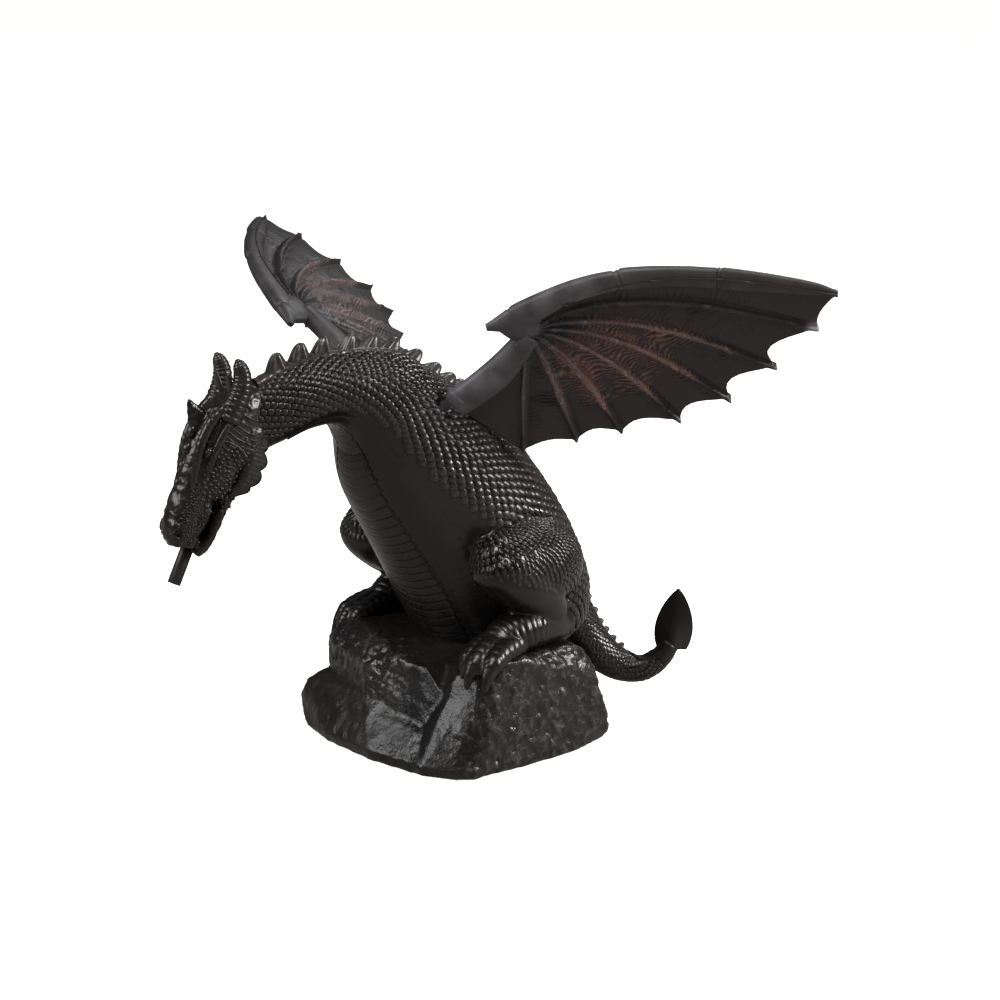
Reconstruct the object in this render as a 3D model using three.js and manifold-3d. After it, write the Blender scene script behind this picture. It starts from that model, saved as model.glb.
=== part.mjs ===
// Winged dragon statue: a cast figure crouching on a two-boulder rock plinth, with two seated wings
// and a short water pipe in its mouth. Millimetres, +Z up, the head looks along -Y.
// The origin is at the middle of the plinth's flat underside.
import * as THREE from 'three';
import { mergeVertices } from 'three/addons/utils/BufferGeometryUtils.js';
import { ConvexGeometry } from 'three/addons/geometries/ConvexGeometry.js';
import Module from 'manifold-3d';

const wasm = await Module();
wasm.setup();

// Fits between the separate castings
const seatClearance = 0.35;
const pipeClearance = 0.3;

// Figure, from the bottom of its seat to the top of its neck. Pose and proportions follow its height:
// they are drawn 200 units tall
const figureHeight = 200;
const unit = figureHeight / 200;

// Spine ridge, its fins and the belly plates
const ridgeWidth = 8;
const ridgeRise = 2.4;
const finSpacing = 9.3;
const tailFinSpacing = 6.3;
const finHeight = 8.8;
const finLength = 13;
const finThickness = 5.4;
const bellyPlatePitch = 5.4;
const bellyPlateLip = 1.1;
const bellyPlateArc = THREE.MathUtils.degToRad(27);

// Mouth pipe
const pipeOuterDiameter = 6;
const pipeBore = 4.4;
const pipeLength = 34;
const pipeVisibleLength = 16;
const drillRunOut = 15;

// Wings, drawn 156.2 units long
const wingLength = 156.2;
const wingUnit = wingLength / 156.2;
const membraneThickness = 2.4;
const ribHeight = 2.1;
const ribHalfAngle = 0.13;
const tenonLength = 15;
const tenonOverlap = 6;
const armWidth = 14;
const armThickness = 8.4;
const wingArch = 290;
const wingSweepArch = 487;

// Plinth
const plinthLength = 128;
const plinthDepth = 118;
const plinthHeight = 53;
const plinthStretch = [plinthLength / 128, plinthDepth / 118, plinthHeight / 53];

const degrees = THREE.MathUtils.degToRad;
const point = (x, y, z) => new THREE.Vector3(x, y, z);
const mix = THREE.MathUtils.lerp;

// Closed geometry to solid, and back
function solid(geometry) {
  geometry.deleteAttribute('normal');
  geometry.deleteAttribute('uv');
  const merged = mergeVertices(geometry, 1e-4);
  const vertProperties = new Float32Array(merged.attributes.position.array);
  const triVerts = new Uint32Array(merged.index.array);
  return new wasm.Manifold(new wasm.Mesh({ numProp: 3, vertProperties, triVerts }));
}

function geometryOf(manifold) {
  const mesh = manifold.getMesh();
  const geometry = new THREE.BufferGeometry();
  geometry.setAttribute('position', new THREE.BufferAttribute(mesh.vertProperties, 3));
  geometry.setIndex(new THREE.BufferAttribute(mesh.triVerts, 1));
  geometry.computeVertexNormals();
  return geometry;
}

const joined = (parts) => parts.reduce((all, part) => all.add(part));

function moveVertices(geometry, place) {
  const positions = geometry.attributes.position;
  const vertex = new THREE.Vector3();
  for (let i = 0; i < positions.count; i += 1) {
    vertex.fromBufferAttribute(positions, i);
    vertex.copy(place(vertex));
    positions.setXYZ(i, vertex.x, vertex.y, vertex.z);
  }
  return geometry;
}

// A smooth path through stations [x, y, z, halfWidth, halfDepth], with its frame at any share of its length
function spinePath(stations, scale = 1) {
  const centres = stations.map(([x, y, z]) => point(x, y, z).multiplyScalar(scale));
  const sizes = stations.map(([, , , w, d]) => point(w, d ?? w, 0).multiplyScalar(scale));
  const line = new THREE.CatmullRomCurve3(centres, false, 'centripetal');
  const size = new THREE.CatmullRomCurve3(sizes, false, 'catmullrom', 0.4);
  const at = (share) => {
    const t = line.getUtoTmapping(Math.min(Math.max(share, 0), 1));
    const along = line.getTangent(t);
    const side = point(1, 0, 0).addScaledVector(along, -along.x).normalize();
    const back = side.clone().cross(along);
    const half = size.getPoint(t);
    return { centre: line.getPoint(t), along, side, back, halfWidth: half.x, halfDepth: half.y };
  };
  return { line, at, length: line.getLength() };
}

// A closed body of oval sections along such a path; relief(row, slot, frame) gives the angle from the
// back and the rise over the oval for each point round a section, where it isn't a plain oval
function tubeAlong(path, around, rows, shareOf = (row) => row / rows, relief = null) {
  const cylinder = new THREE.CylinderGeometry(1, 1, 1, around, rows);
  moveVertices(cylinder, ({ x, y, z }) => {
    const row = Math.round((y + 0.5) * rows);
    const f = path.at(shareOf(row));
    const turn = Math.atan2(x, z);
    const slot = Math.round((turn / (2 * Math.PI)) * around);
    const { angle, rise } = relief ? relief(row, slot, f) : { angle: turn, rise: 0 };
    const reach = Math.hypot(x, z);
    return f.centre.clone()
      .addScaledVector(f.side, Math.sin(angle) * (f.halfWidth + rise) * reach)
      .addScaledVector(f.back, Math.cos(angle) * (f.halfDepth + rise) * reach);
  });
  return solid(cylinder);
}

const limb = (stations, around, steps) => tubeAlong(spinePath(stations, unit), around, steps);

function ellipsoid([x, y, z], [rx, ry, rz], around = 10, rows = 7) {
  const ball = new THREE.SphereGeometry(1, around, rows);
  ball.scale(rx * unit, ry * unit, rz * unit);
  ball.translate(x * unit, y * unit, z * unit);
  return solid(ball);
}

// Torso and neck, from the back of the head to the seat on the rock
const torsoStations = [
  [-11, -112, 166, 13, 14],
  [-7, -103, 171, 14, 15],
  [-3, -87, 177, 16, 15],
  [0, -69, 178, 18, 16.5],
  [0, -46, 167.5, 25, 25.5],
  [0, -25, 143, 34, 37],
  [0, 1, 112, 41, 42.5],
  [0, 20, 84, 45, 44],
  [0, 34, 60, 43, 43],
  [0, 38, 44, 38, 38],
];
const torso = spinePath(torsoStations, unit);

// Trunk: a low ridge along the back, and down the front overlapping belly plates with a raised lower lip
function trunk() {
  const platedFrom = 0.06;
  const platedTo = 0.88;
  const plates = Math.round((torso.length * (platedTo - platedFrom)) / bellyPlatePitch);
  const sideAngles = [36, 70, 102, 130].map(degrees);
  const plateAngles = [Math.PI - bellyPlateArc, Math.PI];
  const shareOf = (row) => {
    if (row === 0) return 0;
    if (row > plates * 2) return 1;
    const plate = Math.floor((row - 1) / 2);
    return mix(platedFrom, platedTo, (plate + ((row - 1) % 2) * 0.84) / plates);
  };
  const relief = (row, slot, f) => {
    const ridgeAngle = ridgeWidth / 2 / f.halfWidth;
    const angles = [0, ridgeAngle, ...sideAngles, ...plateAngles];
    const place = Math.abs(slot);
    const onLip = row > 0 && row % 2 === 0 && row <= plates * 2;
    const lip = place > 5 && onLip ? bellyPlateLip : 0;
    const ridge = place === 0 ? ridgeRise : 0;
    return { angle: Math.sign(slot) * angles[place], rise: lip + ridge };
  };
  return tubeAlong(torso, 14, plates * 2 + 1, shareOf, relief);
}

// Ridge along the spine, with its row of fins
const tailStations = [
  [0, 40, 66, 24, 26],
  [1, 60, 60, 18, 20],
  [5, 75, 45, 12, 13],
  [13, 85, 27, 9.2, 10],
  [22, 94, 17, 7.4, 8],
  [31, 101, 15.5, 6.4, 6.6],
  [38, 108, 21.5, 5.6, 5.6],
  [41, 112, 29, 5, 4.6],
];
const tail = spinePath(tailStations, unit);

const dorsal = (path, share) => {
  const f = path.at(share);
  return f.centre.clone().addScaledVector(f.back, f.halfDepth);
};

function ridgedTail() {
  const relief = (row, slot, f) => {
    const ridgeAngle = ridgeWidth / 3 / f.halfWidth;
    const place = Math.abs(slot);
    const angle = place === 1 ? Math.min(ridgeAngle, degrees(26)) : place * degrees(36);
    return { angle: Math.sign(slot) * angle, rise: place === 0 ? ridgeRise / 2 : 0 };
  };
  return tubeAlong(tail, 10, 12, undefined, relief);
}

// A fin: a hump of diamond section with a ridge down each flank, leaning to the tail
const finProfile = [[-0.25, 1, 0], [0.68, 0.6, 0.16], [1, 0.26, 0.34]];

function fin(path, share, size) {
  const f = path.at(share);
  const foot = dorsal(path, share);
  const cone = new THREE.CylinderGeometry(1, 1, 1, 4, finProfile.length - 1);
  moveVertices(cone, ({ x, y, z }) => {
    const [rise, reach, lean] = finProfile[Math.round((y + 0.5) * (finProfile.length - 1))];
    return foot.clone()
      .addScaledVector(f.side, z * reach * (finThickness / 2) * size)
      .addScaledVector(f.along, (x * reach + lean) * (finLength / 2) * size)
      .addScaledVector(f.back, rise * finHeight * size);
  });
  return solid(cone);
}

function finRow(path, spacing, from, to, sizeFrom, sizeTo) {
  const gaps = Math.max(Math.round((path.length * (to - from)) / spacing), 1);
  return Array.from({ length: gaps + 1 }, (_, i) => {
    const share = i / gaps;
    return fin(path, mix(from, to, share), mix(sizeFrom, sizeTo, share));
  });
}

// Leaf at the end of the tail, with a middle rib
function tailLeaf() {
  const leafLength = 30;
  const leafHalfWidth = 9.6;
  const leafHalfThickness = 4;
  const leaf = new THREE.CylinderGeometry(1, 1, 1, 8, 6);
  moveVertices(leaf, ({ x, y, z }) => {
    const share = y + 0.5;
    const width = Math.max(Math.sin(Math.PI * mix(0.2, 1, share) ** 0.85) ** 0.7, 0.12) * leafHalfWidth;
    const thick = Math.max(1 - share, 0.12) * leafHalfThickness;
    return point(x * width, -z * thick * (1.3 - Math.abs(x)), share * leafLength);
  });
  leaf.scale(unit, unit, unit);
  leaf.rotateZ(degrees(44));
  leaf.rotateX(degrees(-9));
  leaf.translate(41 * unit, 112.5 * unit, 26 * unit);
  return solid(leaf);
}

// Head, modelled in its own frame: u runs to the nose, v to the forehead, w to the dragon's left
const headDown = degrees(62);
const headTurn = degrees(-10);
const headPlace = point(-8, -112, 170).multiplyScalar(unit);
const headFacing = point(Math.sin(headTurn), -Math.cos(headTurn), 0);
const headU = headFacing.clone().multiplyScalar(Math.cos(headDown)).setZ(-Math.sin(headDown));
const headV = headFacing.clone().multiplyScalar(Math.sin(headDown)).setZ(Math.cos(headDown));
const headW = headV.clone().cross(headU);
const headMatrix = new THREE.Matrix4().makeBasis(headU, headV, headW).setPosition(headPlace);
const inHead = (manifold) => manifold.transform(headMatrix.toArray());

// A limb in head coordinates: stations [u, v, w, radiusSideways, radiusUp]
function headLimb(stations, around, steps) {
  const centres = stations.map(([u, v, w]) => point(u, v, w));
  const radii = stations.map(([, , , a, b]) => point(a, b ?? a, 0));
  const line = new THREE.CatmullRomCurve3(centres, false, 'centripetal');
  const size = new THREE.CatmullRomCurve3(radii, false, 'catmullrom', 0.4);
  const tube = new THREE.CylinderGeometry(1, 1, 1, around, steps);
  moveVertices(tube, ({ x, y, z }) => {
    const t = y + 0.5;
    const along = line.getTangent(t);
    const side = point(0, 0, 1).addScaledVector(along, -along.z).normalize();
    const up = side.clone().cross(along);
    const half = size.getPoint(t);
    return line.getPoint(t).addScaledVector(side, x * half.x).addScaledVector(up, z * half.y);
  });
  tube.scale(unit, unit, unit);
  return solid(tube);
}

function headParts() {
  const skull = headLimb([
    [-21, -1, 0, 5, 5],
    [-13, 1, 0, 9.6, 9],
    [-4, 4, 0, 12, 12.4],
    [8, 8, 0, 12.5, 14.5],
    [20, 9.5, 0, 11.5, 14],
    [30, 11, 0, 10.5, 11.5],
    [42, 11.5, 0, 9.4, 9.2],
    [52, 11, 0, 9, 8.4],
    [59, 10, 0, 8, 7.4],
    [64.5, 8, 0, 4.6, 4.2],
  ], 10, 8);
  const lowerJaw = headLimb([
    [14, 0, 0, 12, 9],
    [28, -1, 0, 10.5, 7],
    [42, -0.6, 0, 9, 4.6],
    [54, -1.2, 0, 8, 4],
    [61, -0.8, 0, 6.4, 4.4],
    [65, 0.6, 0, 3.2, 2.4],
  ], 10, 5);
  const parts = [skull, lowerJaw];
  parts.push(headLimb([[9, 21, 0, 4.2], [6, 27, 0, 2.6], [3.5, 32, 0, 0.8]], 6, 3));
  parts.push(headLimb([[2, 16, 0, 4, 3], [-5, 18.5, 0, 3.4, 2.4], [-10, 21, 0, 1, 0.8]], 6, 3));
  for (let i = 0; i < 5; i += 1) {
    const along = 16 + i * 8.4;
    parts.push(ellipsoid([along, 22.6 - i * 1.2, 0], [3.8, 2.6, 2.8], 6, 3));
  }
  for (const side of [-1, 1]) {
    parts.push(headLimb([
      [4, 13, side * 7.5, 5.6],
      [-5, 14, side * 8.2, 5],
      [-13, 15.6, side * 9, 4.3],
      [-18.2, 20.4, side * 9.6, 2.4],
    ], 7, 4));
    parts.push(headLimb([
      [-1, 17, side * 8, 2.2],
      [9, 20.4, side * 7.4, 3.4],
      [19, 21.4, side * 6.8, 3.4],
      [30, 19.6, side * 6.4, 2.4],
      [38, 17, side * 6, 1],
    ], 5, 5));
    parts.push(ellipsoid([23, 16, side * 9.4], [3.4, 3, 2.6], 6, 3));
    parts.push(ellipsoid([27, 7, side * 8], [14, 9, 4.6], 7, 4));
    parts.push(ellipsoid([56, 14, side * 5], [5, 3.6, 3.4], 6, 3));
    parts.push(ellipsoid([13, 1, side * 8.6], [14, 10.5, 4.6], 8, 4));
    for (const [u, v] of [[29, -5.5], [21, -7.5], [12.5, -6.5]]) {
      parts.push(ellipsoid([u, v, side * 9.4], [4.6, 4, 2.6], 6, 3));
    }
  }
  return joined(parts);
}

// Legs: thigh, shin, foot and three clawed toes on each side
function leg(side, footBack) {
  const placed = (stations, back = 0) => stations.map(([x, y, ...rest]) => [side * x, y + back, ...rest]);
  const parts = [
    limb(placed([
      [33, 36, 78, 15], [36, 24, 86, 21.5], [38, 10, 89, 23], [42, -4, 93, 19], [44, -14, 97, 12],
    ]), 11, 6),
    limb(placed([
      [44, -15, 101, 8], [45, -12, 96, 15], [47, 0, 85, 14.5], [47.5, 12, 74, 11.5], [47, 21, 64, 9],
    ]), 9, 5),
    limb(placed([[46, 32, 56, 5], [47, 20, 59, 9]]).concat(
      placed([[47, 3, 60, 10.5], [46, -10, 57, 9.5], [45, -18, 54, 6]], footBack),
    ), 8, 4),
  ];
  const toes = [
    [[43, -10, 57], [43, -21, 55], [44, -30, 52], [45, -34.5, 44]],
    [[47, -10, 57], [48, -22, 55], [50, -32, 50.5], [51, -38, 41]],
    [[51, -8, 56], [54, -19, 54], [57, -28, 50], [59, -34.5, 40]],
  ];
  const toeRadii = [6.4, 5.6, 4.2, 1];
  for (const toe of toes) {
    parts.push(limb(placed(toe.map((place, i) => [...place, toeRadii[i]]), footBack), 6, 3));
  }
  return joined(parts);
}

// Plinth: boulders as hulls of corner points, drawn for a plinth of 128 by 118 by 53 units
const boulders = {
  leftFoot: [
    [-54, -46, 0], [-28, -54, 0], [6, -57, 0], [38, -54, 0], [-59, -44, 5], [-28, -56, 5],
    [6, -59, 5], [40, -55, 5], [-63, -42, 13], [-60, -40, 21], [-55, -34, 26], [-12, -44, 27],
    [28, -46, 18], [-57, 34, 0], [-58, 34, 12], [-50, 30, 26], [20, 30, 20], [20, 40, 0],
  ],
  leftTop: [
    [-53, -32, 26], [-54, -31, 42], [-50, -28, 48], [-44, -22, 53], [-14, -42, 40], [8, -38, 46],
    [22, -37, 45], [34, -37, 34], [30, -45, 17], [-50, 28, 30], [-44, 26, 52.5], [10, 30, 50],
    [20, 0, 50], [-12, -45, 26], [40, -46, 6], [-50, -34, 8], [20, 30, 10], [-46, 28, 8],
  ],
  rightTop: [
    [57, -40, 10], [57, -37, 30], [54, -34, 45], [60, -20, 52], [58, 26, 50], [63, 34, 38], [65, 42, 14],
    [62, 46, 4], [65, 20, 4], [64, -12, 4], [61, -38, 4], [59, 44, 0], [64, 20, 0],
    [62, -13, 0], [58, -38, 0], [42, -18, 52], [30, 34, 50], [46, 56, 0], [24, 50, 0], [44, -24, 8], [48, 42, 44], [48, 56, 8],
  ],
  back: [
    [-44, 24, 0], [46, 24, 0], [-30, 54, 0], [34, 58, 0], [-32, 55, 8], [36, 59, 8],
    [-28, 50, 34], [34, 50, 30], [-38, 22, 52.5], [44, 22, 49], [-20, 38, 48], [24, 38, 48],
  ],
  channelFloor: [
    [20, -54, 0], [38, -54, 0], [53, -47, 0], [59, -40, 0], [39, -56, 4], [54, -49, 4],
    [61, -41, 4], [34, -38, 30], [54, -36, 30], [38, -32, 44], [52, -28, 46], [20, 30, 0],
    [40, 50, 0], [56, 30, 0], [-20, 0, 0], [30, 30, 46], [54, 20, 46], [-10, 0, 46],
  ],
};

function rock(gap) {
  const reach = gap === 0 ? [0] : [-gap, gap];
  const shifts = reach.flatMap((x) => reach.flatMap((y) => reach.map((z) => point(x, y, z))));
  const grow = (corner) => shifts.map((shift) => shift.clone().add(corner));
  const shapes = Object.values(boulders).map((corners) => {
    const points = corners.flatMap((corner) => grow(point(...corner).multiply(point(...plinthStretch))));
    return solid(new ConvexGeometry(points));
  });
  return joined(shapes);
}

// Wing, modelled flat in its own frame: s runs to the tip, t down to the scalloped edge, h to the back
const inWing = (...units) => units.map((value) => value * wingUnit);
const hub = inWing(18, 4.7);
const wingTip = [wingLength, 0];
const wingRoot = inWing(-21.2, 38.8);
const fingerEnds = [
  { end: wingTip, bow: -18 },
  { end: inWing(146.6, 19.2), bow: -13 },
  { end: inWing(126.4, 39.5), bow: -10 },
  { end: inWing(104.3, 55.4), bow: -9 },
  { end: inWing(80.3, 64.6), bow: -7 },
  { end: inWing(52.9, 66.9), bow: -4 },
  { end: inWing(31.7, 68.1), bow: -1 },
  { end: inWing(6.3, 68.8), bow: 1 },
  { end: wingRoot, bow: 0 },
];
const scallopDepth = [0.03, 0.1, 0.1, 0.09, 0.09, 0.08, 0.06, 0.02];

function camber(s, t) {
  const [crownS, crownT] = inWing(60, 18);
  return -((t - crownT) ** 2) / (2 * wingArch) - ((s - crownS) ** 2) / (2 * wingSweepArch);
}

// Point of the fan at a place across the fingers (0 at the tip, one step each) and out from the hub
function fanPoint(across, out) {
  const i = Math.min(Math.floor(across), fingerEnds.length - 2);
  const share = across - i;
  const a = fingerEnds[i];
  const b = fingerEnds[i + 1];
  const dip = 1 - scallopDepth[i] * Math.sin(Math.PI * share) ** 0.8;
  const bow = mix(a.bow, b.bow, share) * wingUnit;
  const ds = (mix(a.end[0], b.end[0], share) - hub[0]) * dip;
  const dt = (mix(a.end[1], b.end[1], share) - hub[1]) * dip;
  const reach = Math.hypot(ds, dt);
  const sway = bow * Math.sin(Math.PI * out ** 0.75);
  return [hub[0] + ds * out - (dt / reach) * sway, hub[1] + dt * out + (ds / reach) * sway];
}

function membrane() {
  const lanes = [];
  for (let i = 0; i < fingerEnds.length - 1; i += 1) {
    lanes.push([i, 1], [i + ribHalfAngle, 0], [i + 0.5, 0], [i + 1 - ribHalfAngle, 0]);
  }
  lanes.push([fingerEnds.length - 1, 1]);
  const rows = 3;
  const sheet = new THREE.BoxGeometry(1, 1, 1, lanes.length - 1, rows, 1);
  moveVertices(sheet, ({ x, y, z }) => {
    const [across, rib] = lanes[Math.round((x + 0.5) * (lanes.length - 1))];
    const out = mix(0.05, 1, 0.5 - y);
    const [s, t] = fanPoint(across, out);
    const half = membraneThickness / 2 + rib * (ribHeight - 0.9 * out);
    return point(s, t, camber(s, t) + z * 2 * half);
  });
  return solid(sheet);
}

// A flattened bar in the wing's frame: stations [s, t, halfWidth, halfThickness]
function wingBar(stations, around, steps) {
  const lineOf = (pick) => new THREE.CatmullRomCurve3(stations.map(pick), false, 'catmullrom', 0.5);
  const line = lineOf(([s, t]) => point(s, t, camber(s, t)));
  const size = lineOf(([, , w, h]) => point(w, h, 0));
  const tube = new THREE.CylinderGeometry(1, 1, 1, around, steps);
  moveVertices(tube, ({ x, y, z }) => {
    const share = y + 0.5;
    const along = line.getTangent(share);
    const up = point(0, 0, 1).addScaledVector(along, -along.z).normalize();
    const side = along.clone().cross(up);
    const half = size.getPoint(share);
    return line.getPoint(share).addScaledVector(side, x * half.x).addScaledVector(up, z * half.y);
  });
  return solid(tube);
}

const armLine = new THREE.Vector2(...wingRoot).sub(new THREE.Vector2(...hub)).normalize();
const armAt = (beyond) => [wingRoot[0] + armLine.x * beyond, wingRoot[1] + armLine.y * beyond];

// Tenon of the wing arm, or with a gap the socket that takes it
function tenon(gap) {
  const halfWidth = armWidth / 2 + gap;
  const halfThickness = armThickness / 2 + gap;
  return wingBar([
    [...armAt(-tenonOverlap - gap), halfWidth, halfThickness],
    [...armAt(tenonLength / 2), halfWidth * 0.94, halfThickness * 0.96],
    [...armAt(tenonLength + gap), halfWidth * 0.88, halfThickness * 0.92],
  ], 8, 1);
}

function wing() {
  const bar = wingBar([
    [0, 0, 1.6, 1.4], [14, -2.6, 6.4, 3.5], [36, -11, 5.2, 3.6], [54, -15, 4.6, 3.1], [65, -16, 5.3, 3.2],
    [85, -14.5, 5, 3], [105, -11.2, 5.8, 2.8], [128, -6.6, 4.6, 2.4], [146, -2.6, 3.2, 1.8],
    [156.2, 0, 0.8, 0.8],
  ].map((station) => inWing(...station)), 6, 9);
  const boss = wingBar([
    [5, -1, 3, 2.2], [16, 2, 9, 3.6], [28, 2, 3.5, 2.4],
  ].map((station) => inWing(...station)), 6, 2);
  const arm = wingBar([
    [...inWing(19, 8, 5), armThickness / 2],
    [...inWing(1, 26), armWidth * 0.53, armThickness / 2],
    [...wingRoot, armWidth * 0.49, armThickness * 0.49],
  ], 8, 3);
  return joined([membrane(), bar, arm, boss, tenon(0)]);
}

// Seats of the wings in the shoulders: a turn and a place for each side
const leftSeat = { turn: [-55.9, -39.8, 14.9], place: [41.5, -15.6, 206.4] };
const rightSeat = { turn: [-17.2, -25.4, 28.1], place: [62.8, -40.7, 198.9] };

function seatMatrix({ turn, place }) {
  const rotation = new THREE.Euler(degrees(turn[0]), degrees(turn[1]), degrees(turn[2]), 'XYZ');
  const matrix = new THREE.Matrix4().makeRotationFromEuler(rotation);
  return matrix.setPosition(point(...place).multiplyScalar(unit));
}

function seated(manifold, side) {
  const seat = side > 0 ? leftSeat : rightSeat;
  const placed = manifold.transform(seatMatrix(seat).toArray());
  return side > 0 ? placed : placed.mirror([1, 0, 0]);
}

// Pipe in the mouth: a ring of rectangular section turned about the pipe's axis
const pipeExit = point(-17.5, -141.5, 113).multiplyScalar(unit);
const pipeDirection = point(0, -8, -15).normalize();

function pipeRing(outer, inner, length) {
  const profile = [[inner, 0], [outer, 0], [outer, length], [inner, length], [inner, 0]];
  const start = pipeExit.clone().addScaledVector(pipeDirection, pipeVisibleLength - length);
  const turned = new THREE.LatheGeometry(profile.map(([r, y]) => new THREE.Vector2(r, y)), 16);
  turned.applyQuaternion(new THREE.Quaternion().setFromUnitVectors(point(0, 1, 0), pipeDirection));
  turned.translate(start.x, start.y, start.z);
  return turned;
}

function pipeSocket() {
  const depth = pipeLength - pipeVisibleLength + pipeClearance;
  const drill = new THREE.CylinderGeometry(1, 1, 1, 16, 1);
  const radius = pipeOuterDiameter / 2 + pipeClearance;
  drill.scale(radius, depth + drillRunOut, radius);
  drill.applyQuaternion(new THREE.Quaternion().setFromUnitVectors(point(0, 1, 0), pipeDirection));
  const middle = pipeExit.clone().addScaledVector(pipeDirection, (drillRunOut - depth) / 2);
  drill.translate(middle.x, middle.y, middle.z);
  return solid(drill);
}

function figure() {
  const parts = [
    trunk(),
    ridgedTail(),
    tailLeaf(),
    ...finRow(torso, finSpacing, 0.094, 0.843, 1, 0.8),
    ...finRow(tail, tailFinSpacing, 0.4, 0.68, 0.46, 0.36),
    inHead(headParts()),
    leg(1, 0),
    leg(-1, 10),
  ];
  const sockets = [seated(tenon(seatClearance), 1), seated(tenon(seatClearance), -1)];
  const socketMouth = ellipsoid([24, -26.3, 166.6], [5.4, 3.8, 5.4], 8, 5);
  return joined(parts).subtract(joined([rock(seatClearance), pipeSocket(), socketMouth, ...sockets]));
}

const statue = new THREE.Group();

function addPiece(name, geometry, color, roughness, metalness) {
  const material = new THREE.MeshStandardMaterial({ color, roughness, metalness });
  const mesh = new THREE.Mesh(geometry, material);
  mesh.name = name;
  statue.add(mesh);
}

const wingSolid = wing();
addPiece('dragon_body', geometryOf(figure()), 0x2a2524, 0.38, 0);
addPiece('rock_plinth', geometryOf(rock(0)), 0x25211f, 0.5, 0);
addPiece('left_wing', geometryOf(seated(wingSolid, 1)), 0x3a2e29, 0.4, 0);
addPiece('right_wing', geometryOf(seated(wingSolid, -1)), 0x3a2f30, 0.4, 0);
const pipeRadius = pipeOuterDiameter / 2;
addPiece('mouth_pipe', pipeRing(pipeRadius, pipeBore / 2, pipeLength), 0x2c2827, 0.45, 0);

export default statue;
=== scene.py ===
import math

import bmesh
import bpy
import numpy as np
from mathutils import Euler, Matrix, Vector
from mathutils import noise as fractal
from mathutils.bvhtree import BVHTree
from mathutils.kdtree import KDTree


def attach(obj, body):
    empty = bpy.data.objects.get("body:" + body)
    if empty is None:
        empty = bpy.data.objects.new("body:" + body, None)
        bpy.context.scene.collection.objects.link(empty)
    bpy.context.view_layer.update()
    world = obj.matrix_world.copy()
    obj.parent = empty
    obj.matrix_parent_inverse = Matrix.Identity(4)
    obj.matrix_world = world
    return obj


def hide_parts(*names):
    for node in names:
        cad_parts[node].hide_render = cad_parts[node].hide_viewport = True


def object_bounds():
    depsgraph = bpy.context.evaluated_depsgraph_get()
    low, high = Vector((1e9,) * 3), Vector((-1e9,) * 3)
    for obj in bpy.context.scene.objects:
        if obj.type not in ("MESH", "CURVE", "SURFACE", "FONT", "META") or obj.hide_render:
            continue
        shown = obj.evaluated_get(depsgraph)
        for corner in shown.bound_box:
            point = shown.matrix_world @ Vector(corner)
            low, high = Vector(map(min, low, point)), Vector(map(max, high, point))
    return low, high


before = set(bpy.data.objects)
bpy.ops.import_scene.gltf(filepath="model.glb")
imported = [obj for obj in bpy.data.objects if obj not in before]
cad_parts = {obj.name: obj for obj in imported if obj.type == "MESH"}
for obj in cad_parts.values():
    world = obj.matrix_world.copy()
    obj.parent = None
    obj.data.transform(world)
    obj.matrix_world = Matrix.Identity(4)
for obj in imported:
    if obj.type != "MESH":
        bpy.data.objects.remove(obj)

# Winged dragon statue in cast resin. Lengths here are millimetres until a mesh is made.
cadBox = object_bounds()
mm = 0.001
dice = np.random.default_rng(11)
xAxis = np.array([1.0, 0.0, 0.0])


def unit(v):
    return v / np.maximum(np.linalg.norm(v, axis=-1, keepdims=True), 1e-9)


def held(v):
    # kept between 0 and 1
    return np.clip(v, 0, 1)


def curveThrough(points, tension=None):
    # smooth curve through the points, centripetal where no tension is given
    p = np.array(points, float)
    p = np.vstack([2 * p[0] - p[1], p, 2 * p[-1] - p[-2]])
    last = len(points) - 1

    def at(t):
        t = np.clip(np.atleast_1d(np.asarray(t, float)), 0, 1) * last
        i = np.minimum(t.astype(int), last - 1)
        w = (t - i)[:, None]
        a, b, c, d = p[i], p[i + 1], p[i + 2], p[i + 3]
        if tension is None:
            ta, tb, tc = (np.sqrt(np.linalg.norm(v - u, axis=1))[:, None]
                          for u, v in ((a, b), (b, c), (c, d)))
            leave = ((b - a) / ta - (c - a) / (ta + tb) + (c - b) / tb) * tb
            arrive = ((c - b) / tb - (d - b) / (tb + tc) + (d - c) / tc) * tb
        else:
            leave, arrive = tension * (c - a), tension * (d - b)
        bend, twist = 3 * (c - b) - 2 * leave - arrive, 2 * (b - c) + leave + arrive
        return b + leave * w + bend * w**2 + twist * w**3

    return at


def spine(stations):
    # path through stations [x, y, z, half width, half depth], read at shares of its length
    centre = curveThrough([s[:3] for s in stations])
    size = curveThrough([[s[3], s[-1]] for s in stations], 0.4)
    t = np.linspace(0, 1, 500)
    points = centre(t)
    run = np.concatenate([[0], np.cumsum(np.linalg.norm(np.diff(points, axis=0), axis=1))])

    def at(share):
        share = np.clip(np.atleast_1d(np.asarray(share, float)), 0, 1)
        u = np.interp(share * run[-1], run, t)
        along = unit(centre(np.minimum(u + 1e-3, 1)) - centre(np.maximum(u - 1e-3, 0)))
        side = unit(xAxis - along * along[:, :1])
        return centre(u), along, side, np.cross(side, along), size(u)

    return at, run[-1]


def onSpine(at, share, angle, rise=0.0):
    # points round a spine, the angle counted from the back, with the ways outward and to the tail
    centre, along, side, back, half = at(share)
    s, c = np.sin(angle)[:, None], np.cos(angle)[:, None]
    w, d = half[:, :1], half[:, 1:]
    out = unit(side * s / w + back * c / d)
    return centre + side * s * w + back * c * d + out * np.reshape(rise, (-1, 1)), out, along


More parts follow.
